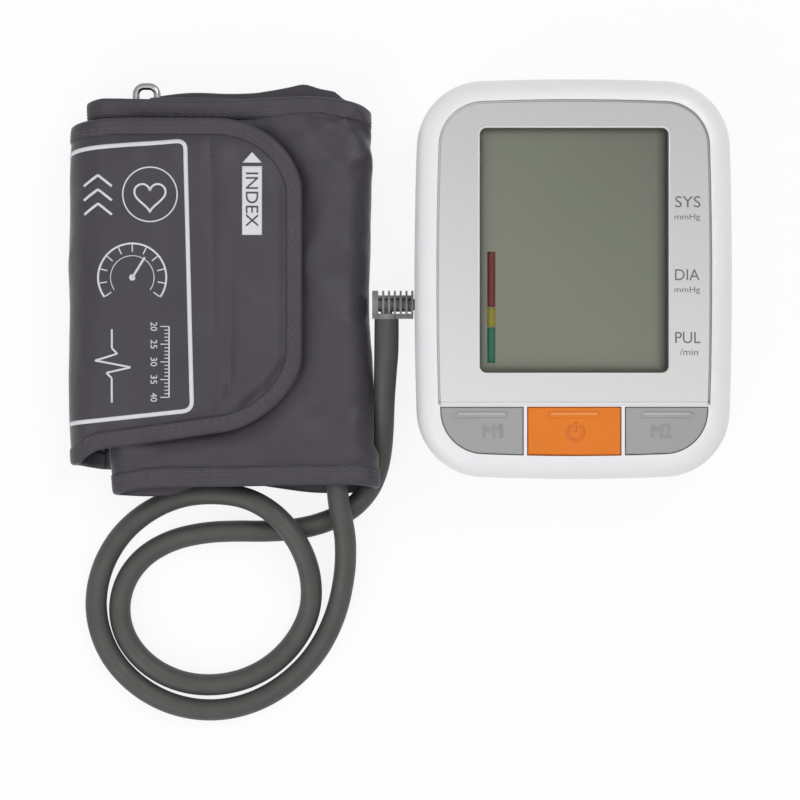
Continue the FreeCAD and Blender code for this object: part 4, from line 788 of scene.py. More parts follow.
rollPath, rollMarks = walkPath([
    (leftFold, layer[0], rightFold, layer[0]),
    (rightFold, (layer[0] + layer[3]) / 2, rightRadius, -90, 90),
    (rightFold, layer[3], frontFold, layer[3]),
    (frontFold, (layer[1] + layer[3]) / 2, (layer[3] - layer[1]) / 2, 90, 270),
    (frontFold, layer[1], rightFold, layer[1]),
    (rightFold, (layer[1] + layer[2]) / 2, (layer[2] - layer[1]) / 2, -90, 90),
    (rightFold, layer[2], eyeX + eye["lead"], layer[2]),
    (eyeX + eye["lead"], layer[2], eyeX, layer[2] + eyeRadius),
    (eyeX, layer[2], eyeRadius, 90, 270),
    (eyeX, layer[2] - eyeRadius, eyeX + eye["tail"], layer[2] - eyeRadius - eye["drop"]),
])
backEnd, frontStart, frontEnd, innerStart, innerEnd, lastStart, lastEnd = rollMarks[1:8]
rollLength = rollMarks[-1]
rollHigh = {
    "at": [0, 20, 34, 46, 54, 61, 68.6, 73.6, 79.8, 85, backEnd, backEnd + 14, frontStart - 6, frontStart,
           frontStart + 11, frontStart + 26, frontStart + 42, frontStart + 58, frontEnd - 10, frontEnd,
           frontEnd + 9, innerStart + 10, innerEnd, lastStart, lastEnd, rollLength],
    "y": [55.5, 69, 70.3, 69.9, 70.1, 71.0, 72.4, 73.4, 71.7, 70.6, 68.2, 62.8, 64.9, 66.3,
          67.6, 67.0, 66.1, 66.1, 66.6, 66.8, 65.6, 66, 65, 65, 67.4, 67.4],
}
rollLow = {
    "at": [0, 22, 50, 62, 80, backEnd, backEnd + 14, frontStart, frontStart + 40, frontEnd - 14, frontEnd - 5,
           frontEnd, frontEnd + 5, frontEnd + 9, innerStart + 6, innerStart + 16, innerStart + 30,
           innerEnd - 26, innerEnd - 12, lastStart + 12, lastStart + 26, lastEnd, rollLength],
    "y": [-69.5, -72.8, -74.2, -76.2, -78.3, -78.4, -76.6, -74.9, -75.5, -75.8, -76.3,
          -77.1, -78.0, -78.6, -79.4, -79.2, -75, -72,
          -63, -63, -72, -65.5, -65.5],
}


# Outline of the flap, which goes round the left fold and lies over the front

flapPath, flapMarks = walkPath([
    (leftFold, (layer[0] + flapLevel) / 2, leftRadius, 270, 90),
    (leftFold, flapLevel, flapHigh[0] - 1.9, flapLevel),
])
foldEnd, flapEnd = flapMarks[1:]
flapShape = {
    "half": 1.15, "tapeWidth": 5.7, "backCorner": (32.0, 29.0), "frontCorner": (29.0, 25.5),
    "frontAt": [0, 5, 12, 18, 24.6, 31, 35.6, 39.3, 60.8, 80.7, 112],
    "frontY": [-69.5, -68.9, -67.9, -67.7, -67.0, -63.4, -61.7, -61.25, -58.35, -55.45, -50.9],
    "backY": (55.5, 59.4, 8, 44),      # at the fold and beyond it, and where it changes
    "seam": ((40.1, 52.0), (42.4, -47.5)),     # stitched line: ends by length past the fold and by width
    "slack": [(0.22, 63, 140, 0.9), (0.16, -39, 83, 2.1), (0.08, 19, 41, 0.3)],
    "crinkle": (0.36, 0.6),            # height and turn
    "rimShare": 0.2,                   # of the crinkle that is left at its edge
    "sag": (1.7, 17),                  # depth at its edge, and reach
    "pinch": (0.5, 13),
}


def flapLimits(s):
    # Front and back edge at each length, with an elliptic corner at each end of the free edge
    foldY, flatY, first, last = flapShape["backY"]
    high = foldY + (flatY - foldY) * smoothStep(first, last, s)
    low = easeThrough(flapShape["frontAt"], flapShape["frontY"], s)
    (backLong, backWide), (frontLong, frontWide) = flapShape["backCorner"], flapShape["frontCorner"]
    pastBack = np.clip((s - flapEnd) / backLong + 1, 0, 1)
    pastFront = np.clip((s - flapEnd) / frontLong + 1, 0, 1)
    high = high - backWide * (1 - np.sqrt(1 - pastBack**2))
    return low + frontWide * (1 - np.sqrt(1 - pastFront**2)), high


cornerTurn = np.sin(np.radians(np.linspace(0, 90, 38)))
cornerLong = flapShape["backCorner"][0]
flapRows = np.unique(np.concatenate([
    np.arange(0, foldEnd, 0.9), np.arange(foldEnd, flapEnd - cornerLong, 1.0),
    flapEnd - cornerLong * (1 - cornerTurn), np.arange(flapEnd - 26, flapEnd - 6, 0.6)]).round(3))
flapLowEdge, flapHighEdge = flapLimits(flapRows)
endColumn = np.linspace(flapLowEdge[-1], flapHighEdge[-1], 40)[1:-1]
outlineS = np.concatenate([flapRows, np.full(len(endColumn), flapRows[-1]), flapRows[::-1]])
outlineY = np.concatenate([flapLowEdge, endColumn, flapHighEdge[::-1]])


def evenSpaced(s, y, gap):
    # The same line with points a gap apart
    run = runAlong(s, y)
    at = np.linspace(0, run[-1], int(run[-1] / gap))
    return np.interp(at, run, s), np.interp(at, run, y)


outlineS, outlineY = evenSpaced(outlineS, outlineY, 1.1)
inwardY, inwardS = headingOf(outlineS, outlineY) * [[1], [-1]]


def edgeGap(s, y):
    # Distance from the nearest point of the flap's outline
    flatS, flatY = np.ravel(s), np.ravel(y)
    gap = np.full(len(flatS), 1e9)
    for i in range(0, len(outlineS), 2):
        gap = np.minimum(gap, (flatS - outlineS[i]) ** 2 + (flatY - outlineY[i]) ** 2)
    return np.sqrt(gap).reshape(np.shape(s))


rollShape = {
    "slack": [(0.30, 57, 150, 0.4), (0.22, -43, 71, 1.3), (0.12, 21, -33, 2.2)],
    "crinkle": (0.4, 1.7),                     # height and turn
    "pinch": (0.4, 12),                        # depth at an edge, and reach
    "tuck": (1.2, 8, 15),                      # most, where past the front layer's start, and reach
    "slant": (-1.3, -4.7 / 75, -0.6, 30, 60),  # all along, by width, and more between two widths
    "slantX": (-76, -104),
    "flare": [(1.5, 0, 50), (2.4, 60.5, 64), (0.2, 64, 76)],    # size, and the widths where it grows
    "bulge": 0.6,
    "bulgeX": (-40, -14),
}
rollCreases = [
    # start and end by length past the front layer's start and by width, width, height
    ((-13, 40), (3, 63), 2.6, 1.2), ((-7, 36), (14, 58), 2.2, -0.9), ((-14, 52), (-2, 66), 1.8, 0.8),
    ((2, 46), (12, 66), 1.8, 0.65), ((-12, -4), (9, 4), 4.0, -0.9), ((-10, 8), (8, 16), 3.6, 0.7),
    ((-11, -20), (6, -12), 3.4, 0.7), ((-9, -44), (10, -52), 3.0, -0.6), ((4, -58), (62, -64), 3.4, 0.6),
    ((-8, 56), (6, 49), 1.7, -0.8), ((-12, 47), (5, 42), 1.9, 0.7), ((-3, 60), (13, 50), 1.4, 0.6),
    ((6, 57), (22, 46), 2.4, 0.7), ((3, 30), (13, 8), 2.8, 0.45), ((0, -30), (12, -48), 2.6, 0.45),
]


def underFlap(s, y):
    # 1 where the flap lies on the front layer, falling to 0 in the few millimetres beside it
    along = foldEnd + rightFold - leftFold - (s - frontStart)     # the flap's length above the point
    low, high = flapLimits(along)
    covered = (y > low) & (y < high) & (along < flapEnd)
    gap = edgeGap(along, y) * np.where(covered, -1, 1)
    front = plateau(frontStart - 4, frontStart + 6, frontEnd - 12, frontEnd, s)
    return (1 - smoothStep(-3, 8, gap)) * front


def rollWave(s, y):
    # Slack in the layers: long ripples, the creases of the outer right side, and the front layer
    # pressed in below the flap
    total = ripple(s, y, rollShape["slack"]) + crinkle(s, y, *rollShape["crinkle"])
    total = total * plateau(backEnd - 4, backEnd + 10, lastStart, lastEnd, s)
    for start, end, width, height in rollCreases:
        total = total + crease(s - frontStart, y, start, end, width, height)
    return total - cloth["pressed"] * underFlap(s, y)


def rollLimits(s):
    # Front and back edge at each length
    return [easeThrough(edge["at"], edge["y"], s) for edge in (rollLow, rollHigh)]


def rollEdge(s, y):
    # Distance from the nearer of the strip's two edges
    low, high = rollLimits(s)
    return np.minimum(high - y, y - low)


def rollPoint(s, y, n):
    # Strip point, then the front fold's slant and the lower right corner's flare; the front
    # fold is pinched at its ends, and the back binding drawn up near the right fold
    depth, reach = rollShape["pinch"]
    pinch = depth * plateau(frontEnd - 5, frontEnd + 6, innerStart - 6, innerStart + 5, s)
    pinch = pinch * (1 - smoothStep(0, reach, rollEdge(s, y)))
    most, past, reach = rollShape["tuck"]
    tuck = plateau(0, cloth["tapeWidth"], 8, 26, rollLimits(s)[1] - y)
    tuck = most * tuck * np.exp(-(((s - frontStart - past) / reach) ** 2))
    point = onStrip(rollPath, -1, s, y + tuck, n + rollWave(s, y) - pinch)
    x, z = point[..., 0], point[..., 2]
    base, byWidth, more, first, last = rollShape["slant"]
    slant = (base + byWidth * y + more * smoothStep(first, last, y)) * smoothStep(*rollShape["slantX"], x)
    slant = slant * plateau(frontStart, frontEnd, innerStart + 10, innerStart + 40, s)
    flare = sum(size * smoothStep(first, last, -y) for size, first, last in rollShape["flare"])
    lift = smoothStep(6, 14, z) * (1 - smoothStep(frontStart + 8, frontStart + 30, s))
    outer = smoothStep(*rollShape["bulgeX"], x) * (s < innerStart)
    point[..., 0] = x + slant + (rollShape["bulge"] + flare * lift) * outer
    return point


def rollHalf(s, y):
    # Half the thickness: thin under the bindings and at the ring's eye, and no groove on the folds
    full = cloth["half"] - 0.25 - 0.85 * smoothStep(lastEnd - 16, lastEnd + 4, s)
    fold = plateau(frontEnd - 5, frontEnd + 2, innerStart - 3, innerStart + 4, s)
    fold = fold + plateau(backEnd + 3, backEnd + 9, frontStart - 7, frontStart - 1, s)
    return np.maximum(clothHalf(rollEdge(s, y), full, cloth["tapeWidth"]), cloth["foldHalf"] * fold)


tapeColour = tapeFinish()
threadColour = mouldedFinish("thread", ink(92, 88, 95), 0.6, 0.25, 0.02)
rollRows = np.unique(np.concatenate([
    np.arange(0, rollLength, 1.6), np.arange(backEnd, frontStart, 0.8), np.arange(frontEnd, innerStart, 0.8),
    np.arange(innerEnd, lastStart, 0.5), np.arange(lastEnd, rollLength, 0.35), [rollLength]]).round(3))
rollBottom, rollTop = rollLimits(rollRows)
rollPiece = sheetPiece("cuffRoll", rollRows, rollBottom, rollTop, 96, rollPoint, rollHalf,
                       finishes["cuff_fabric"], cloth["tapeWidth"])
level = np.zeros(len(rollRows))
rollTrim = [
    tapePiece("cuffTapeBack", rollRows, rollTop, level, level - 1, rollPoint, cloth["tapeWidth"]),
    tapePiece("cuffTapeFront", rollRows, rollBottom, level, level + 1, rollPoint, cloth["tapeWidth"]),
]
shown = rollRows < innerStart
threadTop = cloth["edgeHalf"] + 1.02 * cloth["tapeThick"]
for name, inset in zip(["One", "Two"], cloth["rows"]):
    for side, edge in [("Back", rollTop - inset), ("Front", rollBottom + inset)]:
        rollTrim.append(stitchPiece("cuffThread" + side + name, rollRows[shown], edge[shown], rollPoint,
                                    threadTop, threadColour))
settle(rollPiece, "cuff", "cuff_band")
for piece in rollTrim:
    settle(piece, "cuff")
print("cuff roll folded", round(rollLength, 1))


# Flap: the strip's outer end, with its slack, binding and print

flapCreases = [
    # start and end by length past the fold and by width, width, height
    (*flapShape["seam"], 1.0, -0.5),
    ((47.6, -2), (46.9, -42), 1.7, -0.75), ((47.2, -40), (43.0, -47), 1.2, -0.7),
    ((51.5, 4), (50.6, -40), 2.6, 0.35), ((44.6, -36), (44.2, -45), 1.3, 0.45),
    ((26, -50), (41, -46), 2.2, 0.4), ((49, -45), (61, -36), 1.6, 0.55), ((52, -47), (65, -33), 1.3, -0.45),
    ((58, -41), (67, -26), 1.7, 0.45), ((60, 38), (66, 22), 2.0, 0.3), ((44, 50), (47, 20), 3.2, 0.4),
    ((36, 52), (37, 22), 2.6, 0.3), ((-6.13, -30), (21.87, -58), 4.0, 0.5),
    ((-10.13, 28), (13.87, 50), 4.5, 0.4),
]


def flapPoint(s, y, n):
    # Strip point with the cloth's slack; the rim sags on to the layer below it, and the fold is
    # pinched at its ends
    gap = edgeGap(s, y)
    rim = flapShape["rimShare"] + (1 - flapShape["rimShare"]) * smoothStep(4, 15, gap)
    total = ripple(s, y, flapShape["slack"]) + crinkle(s, y, *flapShape["crinkle"]) * rim
    for start, end, width, height in flapCreases:
        total = total + crease(s - foldEnd, y, start, end, width, height)
    total = total * smoothStep(2, 14, s)
    (sagDepth, sagReach), (pinchDepth, pinchReach) = flapShape["sag"], flapShape["pinch"]
    sag = sagDepth * (1 - smoothStep(0, sagReach, gap)) * smoothStep(foldEnd - 12, foldEnd + 10, s)
    pinch = pinchDepth * (1 - smoothStep(0, pinchReach, gap)) * plateau(4, 16, foldEnd - 10, foldEnd + 6, s)
    return onStrip(flapPath, 1, s, y, n + total - sag - pinch)


def flapHalf(s, y):
    fold = plateau(2, 9, foldEnd - 8, foldEnd + 3, s)
    flat = clothHalf(edgeGap(s, y), flapShape["half"], flapShape["tapeWidth"])
    return np.maximum(flat, cloth["foldHalf"] * fold)


flapPiece = sheetPiece("cuffFlap", flapRows, flapLowEdge, flapHighEdge, 90, flapPoint, flapHalf,
                       finishes["cuff_fabric"], flapShape["tapeWidth"])
seamS, seamY = np.linspace(*flapShape["seam"], 60).T
flapTrim = [
    tapePiece("flapTape", outlineS, outlineY, inwardS, inwardY, flapPoint, flapShape["tapeWidth"]),
    stitchPiece("flapSeam", foldEnd + seamS, seamY, flapPoint, flapShape["half"] - 0.08, tapeColour),
]
flapInsets = np.array(cloth["rows"]) * flapShape["tapeWidth"] / cloth["tapeWidth"]
for name, inset in zip(["One", "Two"], flapInsets):
    flapTrim.append(stitchPiece("flapThread" + name, outlineS + inset * inwardS, outlineY + inset * inwardY,
                                flapPoint, threadTop, threadColour))

# Print: line drawings and a tag on the flap, in its flat length and width


def softCorners(line, reach):
    # Each inner corner of a line becomes a short curve that starts and ends at reach from it
    line = np.array(line, float)
    share = np.linspace(0, 1, 7)[:, None]
    rows = [line[:1]]
    for before, corner, after in zip(line, line[1:], line[2:]):
        start = corner + (before - corner) * min(0.5, reach / np.linalg.norm(before - corner))
        end = corner + (after - corner) * min(0.5, reach / np.linalg.norm(after - corner))
        rows.append(start * (1 - share) ** 2 + corner * 2 * share * (1 - share) + end * share**2)
    return np.vstack(rows + [line[-1:]])


def arcLine(centre, radius, first, last, count=40):
    turn = np.radians(np.linspace(first, last, count))
    return np.stack([centre[0] + radius * np.cos(turn), centre[1] + radius * np.sin(turn)], axis=-1)


def strokePiece(name, strokes, pointAt, heightAt, finish, gap=0.9):
    # Each stroke is a line and a width: a flat bar of six sides that follows the surface
    points, faces, count = [], [], 0
    for line, width in strokes:
        line = np.array(line, float)
        s, y = evenSpaced(line[:, 0], line[:, 1], gap)
        ahead = headingOf(s, y)
        aside = np.array([1, 0, -1, -1, 0, 1]) * width / 2
        barS, barY = s[:, None] - aside * ahead[1][:, None], y[:, None] + aside * ahead[0][:, None]
        low, top = heightAt(barS, barY)
        points.append(pointAt(barS, barY, np.where([True] * 3 + [False] * 3, top, low)).reshape(-1, 3))
        faces += [[corner + count for corner in face] for face in tubeFaces(len(s), 6)]
        count += 6 * len(s)
    return putPiece(name, np.vstack(points), faces, finish)


def letterPiece(name, text, centre, size, pointAt, heightAt, finish, turned=False):
    # Text of a given width and height about a centre; turned text reads towards the front
    words = bpy.data.curves.new(name, "FONT")
    words.body = text
    words.extrude = 0.5
    words.resolution_u = 4
    carrier = bpy.data.objects.new(name + "Carrier", words)
    bpy.context.scene.collection.objects.link(carrier)
    ready = carrier.evaluated_get(bpy.context.evaluated_depsgraph_get())
    flat = bpy.data.meshes.new_from_object(ready)
    spots = pointsOf(flat)
    faces = [list(face.vertices) for face in flat.polygons]
    bpy.data.objects.remove(carrier)
    bpy.data.meshes.remove(flat)
    bpy.data.curves.remove(words)
    low, high = spots.min(axis=0), spots.max(axis=0)
    across = ((spots[:, 0] - low[0]) / (high[0] - low[0]) - 0.5) * size[0]
    upward = ((spots[:, 1] - low[1]) / (high[1] - low[1]) - 0.5) * size[1]
    s = centre[0] + (upward if turned else across)
    y = centre[1] + (-across if turned else upward)
    floor, top = heightAt(s, y)
    return putPiece(name, pointAt(s, y, np.where(spots[:, 2] > 0, top, floor)), faces, finish)


def padPiece(name, gridS, gridY, pointAt, lowTop, finish, rimShare=1.0):
    # A thin pad on the cloth over a grid of lengths and widths; its rim is rimShare as thick
    rim = np.minimum(np.minimum(abs(gridY - gridY[:, :1]), abs(gridY[:, -1:] - gridY)),
                     np.minimum(abs(gridS - gridS[:1]), abs(gridS[-1:] - gridS)))
    floor, top = lowTop(gridS, gridY)
    top = floor + (top - floor) * (rimShare + (1 - rimShare) * smoothStep(0, 1.6, rim))
    spanS, spanY = thereAndBack(gridS, gridS), thereAndBack(gridY, gridY)
    return putPiece(name, pointAt(spanS, spanY, thereAndBack(top, floor)), sheetFaces(*gridS.shape), finish,
                    np.stack([spanS, spanY], axis=-1))


def evenGrid(s, y):
    return np.meshgrid(s, y, indexing="ij")


def flapPrintHeight(s, y):
    half = flapHalf(s, y)
    return half - 0.1, half + 0.12


def tagLetterHeight(s, y):
    half = flapHalf(s, y)
    return half, half + 0.22


flapPrint = {
    "frame": [(7, 41.0), (18, 45.7), (28, 47.9), (36, 49.0), (46, 49.8), (56, 50.4), (66.9, 51.4),
              (69.4, -47.8), (7, -54.5), (7, 41.0), (11, 42.7)],
    "frameWidth": 1.55,
    "frameCorner": 3.5,
    "lineWidth": 0.5,
    "heart": {"at": (54.0, 31.5), "scale": 0.36, "drop": 0.5, "width": 0.75, "ring": 10.0},
    "dial": {"at": (47.5, 1.0), "sweep": (-35, 215), "arcs": [(12.5, 60, 0.7), (8.0, 50, 0.3)], "marks": 11,
             "markEnds": (9.4, 12.2), "markWidth": 0.45, "needle": (4.6, 7.4), "needleWidth": 0.8,
             "hub": (0.7, 1.2)},
    "rule": {"s": 61.0, "ends": (-17.0, -43.0), "marks": 21, "long": 3.2, "short": 1.7, "width": 0.35,
             "numbers": ("20", "25", "30", "35", "40"), "numberIn": 5.6, "numberSize": (3.2, 2.4)},
    "trace": {"at": (40.0, -18.0), "width": 0.7,
              "beat": [(0, 0), (0, -7), (2, -9), (-6, -11.5), (7, -14), (-2, -16), (0, -18), (0, -27)]},
    "chevron": {"tips": (38.5, 33.3, 28.1), "line": [(30.0, -4.0), (35.0, 0), (40.0, -4.0)], "width": 0.9},
    "tag": (91.45, 29.25, 7.3, 25.3),    # middle, length and width
    "tagWord": ((91.45, 29.55), (20.0, 4.5)),
    "arrow": (91.45, 43.2, 3.5, 3.9),    # middle of its base, half base and height
}


def heartLine(at, scale, drop):
    # The sine curve of a heart: 16 sin^3 across, 13 cos - 5 cos 2 - 2 cos 3 - cos 4 along
    turn = np.linspace(0, 2 * np.pi, 60)
    upward = 13 * np.cos(turn) - 5 * np.cos(2 * turn) - 2 * np.cos(3 * turn) - np.cos(4 * turn)
    return np.stack([at[0] + scale * 16 * np.sin(turn) ** 3, at[1] - drop + scale * upward], axis=-1)


def printStrokes():
    # A frame, a heart in a ring, a dial with a needle, a rule, a pulse trace and chevrons
    heart, dial, rule = flapPrint["heart"], flapPrint["dial"], flapPrint["rule"]
    trace, chevron = flapPrint["trace"], flapPrint["chevron"]
    thin = flapPrint["lineWidth"]
    strokes = [(softCorners(flapPrint["frame"], flapPrint["frameCorner"]), flapPrint["frameWidth"]),
               (heartLine(heart["at"], heart["scale"], heart["drop"]), heart["width"]),
               (arcLine(heart["at"], heart["ring"], 0, 360, 70), thin)]
    middle = np.array(dial["at"])
    for radius, count, width in dial["arcs"]:
        strokes.append((arcLine(middle, radius, *dial["sweep"], count), width))
    for angle in np.radians(np.linspace(*dial["sweep"], dial["marks"])):
        aim = np.array([np.cos(angle), np.sin(angle)])
        strokes.append((middle + np.outer(dial["markEnds"], aim), dial["markWidth"]))
    strokes.append(([middle, middle + dial["needle"]], dial["needleWidth"]))
    strokes.append((arcLine(middle, dial["hub"][0], 0, 360, 16), dial["hub"][1]))
    ruleS, ruleEnds = rule["s"], rule["ends"]
    strokes.append(([(ruleS, ruleEnds[0]), (ruleS, ruleEnds[1])], thin))
    for i, at in enumerate(np.linspace(*ruleEnds, rule["marks"])):
        strokes.append(([(ruleS, at), (ruleS - rule["short" if i % 5 else "long"], at)], rule["width"]))
    strokes.append((np.array(trace["at"]) + trace["beat"], trace["width"]))
    for tip in chevron["tips"]:
        strokes.append((np.array(chevron["line"]) + [0, tip], chevron["width"]))
    return strokes


inkWhite = inkFinish("inkWhite", ink(228, 228, 234))
inkGrey = inkFinish("inkGrey", ink(70, 68, 74))
tagS, tagY, tagWide, tagLong = flapPrint["tag"]
arrowS, arrowY, arrowHalf, arrowHigh = flapPrint["arrow"]
flapTrim.append(strokePiece("flapPrint", printStrokes(), flapPoint, flapPrintHeight, inkWhite, 0.6))
flapTrim.append(padPiece("flapTag", *evenGrid(tagS + tagWide * np.linspace(-0.5, 0.5, 12),
                                              tagY + tagLong * np.linspace(-0.5, 0.5, 36)),
                         flapPoint, flapPrintHeight, inkWhite))
arrowUp, arrowAside = evenGrid(np.linspace(0, 1, 12), np.linspace(-1, 1, 11))
flapTrim.append(padPiece("flapArrow", arrowS + arrowHalf * arrowAside * (1.01 - arrowUp),
                         arrowY + arrowHigh * arrowUp, flapPoint, flapPrintHeight, inkWhite))
flapTrim.append(letterPiece("tagLetters", "INDEX", *flapPrint["tagWord"], flapPoint, tagLetterHeight,
                            inkGrey, turned=True))
rule = flapPrint["rule"]
for i, at in enumerate(np.linspace(*rule["ends"], len(rule["numbers"]))):
    flapTrim.append(letterPiece(f"ruleNumber{i}", rule["numbers"][i], (rule["s"] - rule["numberIn"], at),
                                rule["numberSize"], flapPoint, flapPrintHeight, inkWhite, turned=True))

for piece in [flapPiece] + flapTrim:
    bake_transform(piece)
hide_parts("cuff_flap")
print("flap folded", round(flapEnd, 1))


# Hook and loop patches, and the bladder in the inner layer

patchLow, patchHigh = boxOf("loop_patch")
patch = {"corner": 8.0, "sunk": 0.15, "thick": 0.7, "rimShare": 0.35}


def patchGrid():
    # The patches' rectangle, drawn in along a quarter circle at each corner
    x = np.linspace(patchLow[0], patchHigh[0], 60)
    past = np.clip(1 - np.minimum(x - patchLow[0], patchHigh[0] - x) / patch["corner"], 0, 1)
    inset = (patch["corner"] * (1 - np.sqrt(1 - past**2)))[:, None]
    y = patchLow[1] + inset + (patchHigh[1] - patchLow[1] - 2 * inset) * np.linspace(0, 1, 80)
    return x[:, None] + 0 * y, y


def patchHeight(halfAt, side):
    # Heights of a patch on the outer or inner side of its cloth
    return lambda s, y: (side * (halfAt(s, y) - patch["sunk"]), side * (halfAt(s, y) + patch["thick"]))


patchX, patchY = patchGrid()
loopPiece = padPiece("loopPatch", frontStart + rightFold - patchX, patchY, rollPoint,
                     patchHeight(rollHalf, 1), finishes["loop_fabric"], patch["rimShare"])
settle(loopPiece, "cuff", "loop_patch")
hookPiece = padPiece("hookPatch", foldEnd + patchX - leftFold, patchY, flapPoint,
                     patchHeight(flapHalf, -1), finishes["hook_fabric"], patch["rimShare"])
settle(hookPiece, "flap", "hook_patch")


bladder = {"rimShare": 0.3, "weld": (2.5, 9)}     # rim's share of its height, and where the skins part


def makeBladder():
    # A flat rubber bag: a long pillow whose two skins meet in a welded rim
    low, high = boxOf("cuff_bladder")
    x, y = evenGrid(np.linspace(low[0], high[0], 44), np.linspace(low[1], high[1], 84))
    rim = np.minimum(np.minimum(x - low[0], high[0] - x), np.minimum(y - low[1], high[1] - y))
    share = bladder["rimShare"] + (1 - bladder["rimShare"]) * smoothStep(*bladder["weld"], rim)
    half, middle = (high[2] - low[2]) / 2 * share, (low[2] + high[2]) / 2
    points = np.stack([thereAndBack(x, x), thereAndBack(y, y), middle + thereAndBack(half, -half)], axis=-1)
    piece = putPiece("cuffBladder", points, sheetFaces(*x.shape), finishes["bladder_rubber"])
    settle(piece, "cuff", "cuff_bladder")


makeBladder()
print("patches and bladder placed")


# Monitor: lettering on the panel, marks on the keys, painted highlights on their ridges, colour bars,
# and painted shade: a dark lining in the window and a grey bar in the gap beside the panel

panelLow, panelHigh = boxOf("face_panel")
lensLow, lensHigh = boxOf("window_lens")
glassTop = boxOf("lcd_glass")[1][2]
middleX = (panelLow[0] + panelHigh[0]) / 2


def flatPoint(x, y, z):
    return np.stack([x, y + 0 * x, z + 0 * x], axis=-1)


def layerOn(floor, sunk, thick):
    # Heights of a thin mark on a level face
    return lambda x, y: (floor - sunk + 0 * x, floor + thick + 0 * x)


labels = {
    "sysLabel": ("SYS", (105.2, 27.8), (9.2, 4.1)),
    "sysUnit": ("mmHg", (105.0, 22.1), (9.2, 2.7)),
    "diaLabel": ("DIA", (105.0, 1.4), (8.9, 4.0)),
    "diaUnit": ("mmHg", (105.0, -4.3), (9.2, 2.7)),
    "pulLabel": ("PUL", (105.2, -21.4), (9.2, 4.1)),
    "pulUnit": ("/min", (105.6, -26.6), (6.6, 2.4)),
}
labelInk = inkFinish("labelInk", ink(104, 104, 106))
for name, (text, centre, size) in labels.items():
    piece = letterPiece(name, text, centre, size, flatPoint, layerOn(panelHigh[2], 0.1, 0.04), labelInk)
    settle(piece, "monitor")

bars = {
    "barRed": ((9.8, -10.2), (104, 18, 22)),
    "barYellow": ((-10.5, -17.4), (150, 138, 26)),
    "barGreen": ((-17.7, -30.5), (24, 104, 80)),
}
barMiddle, barWidth = 34.1, 2.9
for name, (ends, colour) in bars.items():
    finish = mouldedFinish(name, ink(*colour), 0.5, 0.8, 0.005)
    piece = strokePiece(name, [([(barMiddle, ends[0]), (barMiddle, ends[1])], barWidth)], flatPoint,
                        layerOn(glassTop, 0.1, 0.06), finish)
    settle(piece, "monitor")

keyMarks = {
    "raise": 0.3, "middleY": -55.2, "letterHigh": 4.8, "ringRadius": 2.9, "barWidth": 0.95,
    "ridgeY": -48.95, "ridgeHalf": 8.7, "ridgeWidth": 1.0, "ridgeHigh": 0.4,
    "digit": (37.6, 0.8), "flag": [(-1.5, -1.5), (-0.62, -0.72)], "flagWidth": 0.6,   # the 1, by its top
    "power": (middleX + 0.4, -55.8), "powerGap": (122, 418), "powerBar": (0.3, 3.7),
}
keyTop = boxOf("power_key")[1][2] - keyMarks["ridgeHigh"]
# The marks are a little darker than their keys, as painted shade on the raised letters and symbol
markGrey = mouldedFinish("markGrey", ink(151, 151, 153), 0.45, 0.4, 0.01, 0.02)
markOrange = mouldedFinish("markOrange", ink(217, 115, 34), 0.45, 0.4, 0.01, 0.02)
# Paler bars on the keys' ridges are painted highlights
ridgeHighlightGrey = mouldedFinish("ridgeHighlightGrey", ink(182, 182, 183), 0.5, 0.4, 0.01, 0.02)
ridgeHighlightOrange = mouldedFinish("ridgeHighlightOrange", ink(238, 146, 68), 0.5, 0.4, 0.01, 0.02)
markHeights = layerOn(keyTop, 0.2, keyMarks["raise"])
keyPieces = []
for name, body, letter, atX, wide in [("markOne", "memory_one", "M", 33.1, 4.2),
                                      ("markTwo", "memory_two", "M2", 95.6, 7.1)]:
    keyPieces.append((letterPiece(name, letter, (atX, keyMarks["middleY"]), (wide, keyMarks["letterHigh"]),
                                  flatPoint, markHeights, markGrey), body, "key_grey"))
digitX, digitWidth = keyMarks["digit"]
digitTop = np.array([digitX, keyMarks["middleY"] + keyMarks["letterHigh"] / 2])
keyPieces.append((strokePiece(
    "markOneDigit", [([digitTop, digitTop - [0, keyMarks["letterHigh"]]], digitWidth),
                     (digitTop + keyMarks["flag"], keyMarks["flagWidth"])],
    flatPoint, markHeights, markGrey, 0.3), "memory_one", "key_grey"))
for name, node, body, finish, slot in [("ridgeHighlightOne", "memory_one_key", "memory_one", ridgeHighlightGrey, "key_grey"),
                                       ("ridgeHighlightPower", "power_key", "power", ridgeHighlightOrange, "key_orange"),
                                       ("ridgeHighlightTwo", "memory_two_key", "memory_two", ridgeHighlightGrey, "key_grey")]:
    low, high = boxOf(node)
    middle, y = (low[0] + high[0]) / 2, keyMarks["ridgeY"]
    ends = [(middle - keyMarks["ridgeHalf"], y), (middle + keyMarks["ridgeHalf"], y)]
    keyPieces.append((strokePiece(name, [(ends, keyMarks["ridgeWidth"])], flatPoint,
                                  layerOn(high[2], 0.1, 0.03), finish), body, slot))
powerX, powerY = keyMarks["power"]
keyPieces.append((strokePiece(
    "markPower",
    [(arcLine((powerX, powerY), keyMarks["ringRadius"], *keyMarks["powerGap"], 50), keyMarks["barWidth"]),
     ([(powerX, powerY + end) for end in keyMarks["powerBar"]], keyMarks["barWidth"])],
    flatPoint, markHeights, markOrange, 0.35), "power", "key_orange"))
for piece, body, slot in keyPieces:
    settle(piece, body)

window = {
    "size": np.array([68.5, 88.8]), "corner": 2.5, "middle": (lensLow + lensHigh)[:2] / 2,
    "shadeLining": (-0.03, -0.53),     # a dark frame inside the window's edge, painted shade on its wall
    "lip": [(-0.02, -0.1), (0, 0.08), (0.195, 0.17), (0.4875, 0.14), (0.65, -0.1)],    # a bead round it, painted pale as its bevel's highlight
}


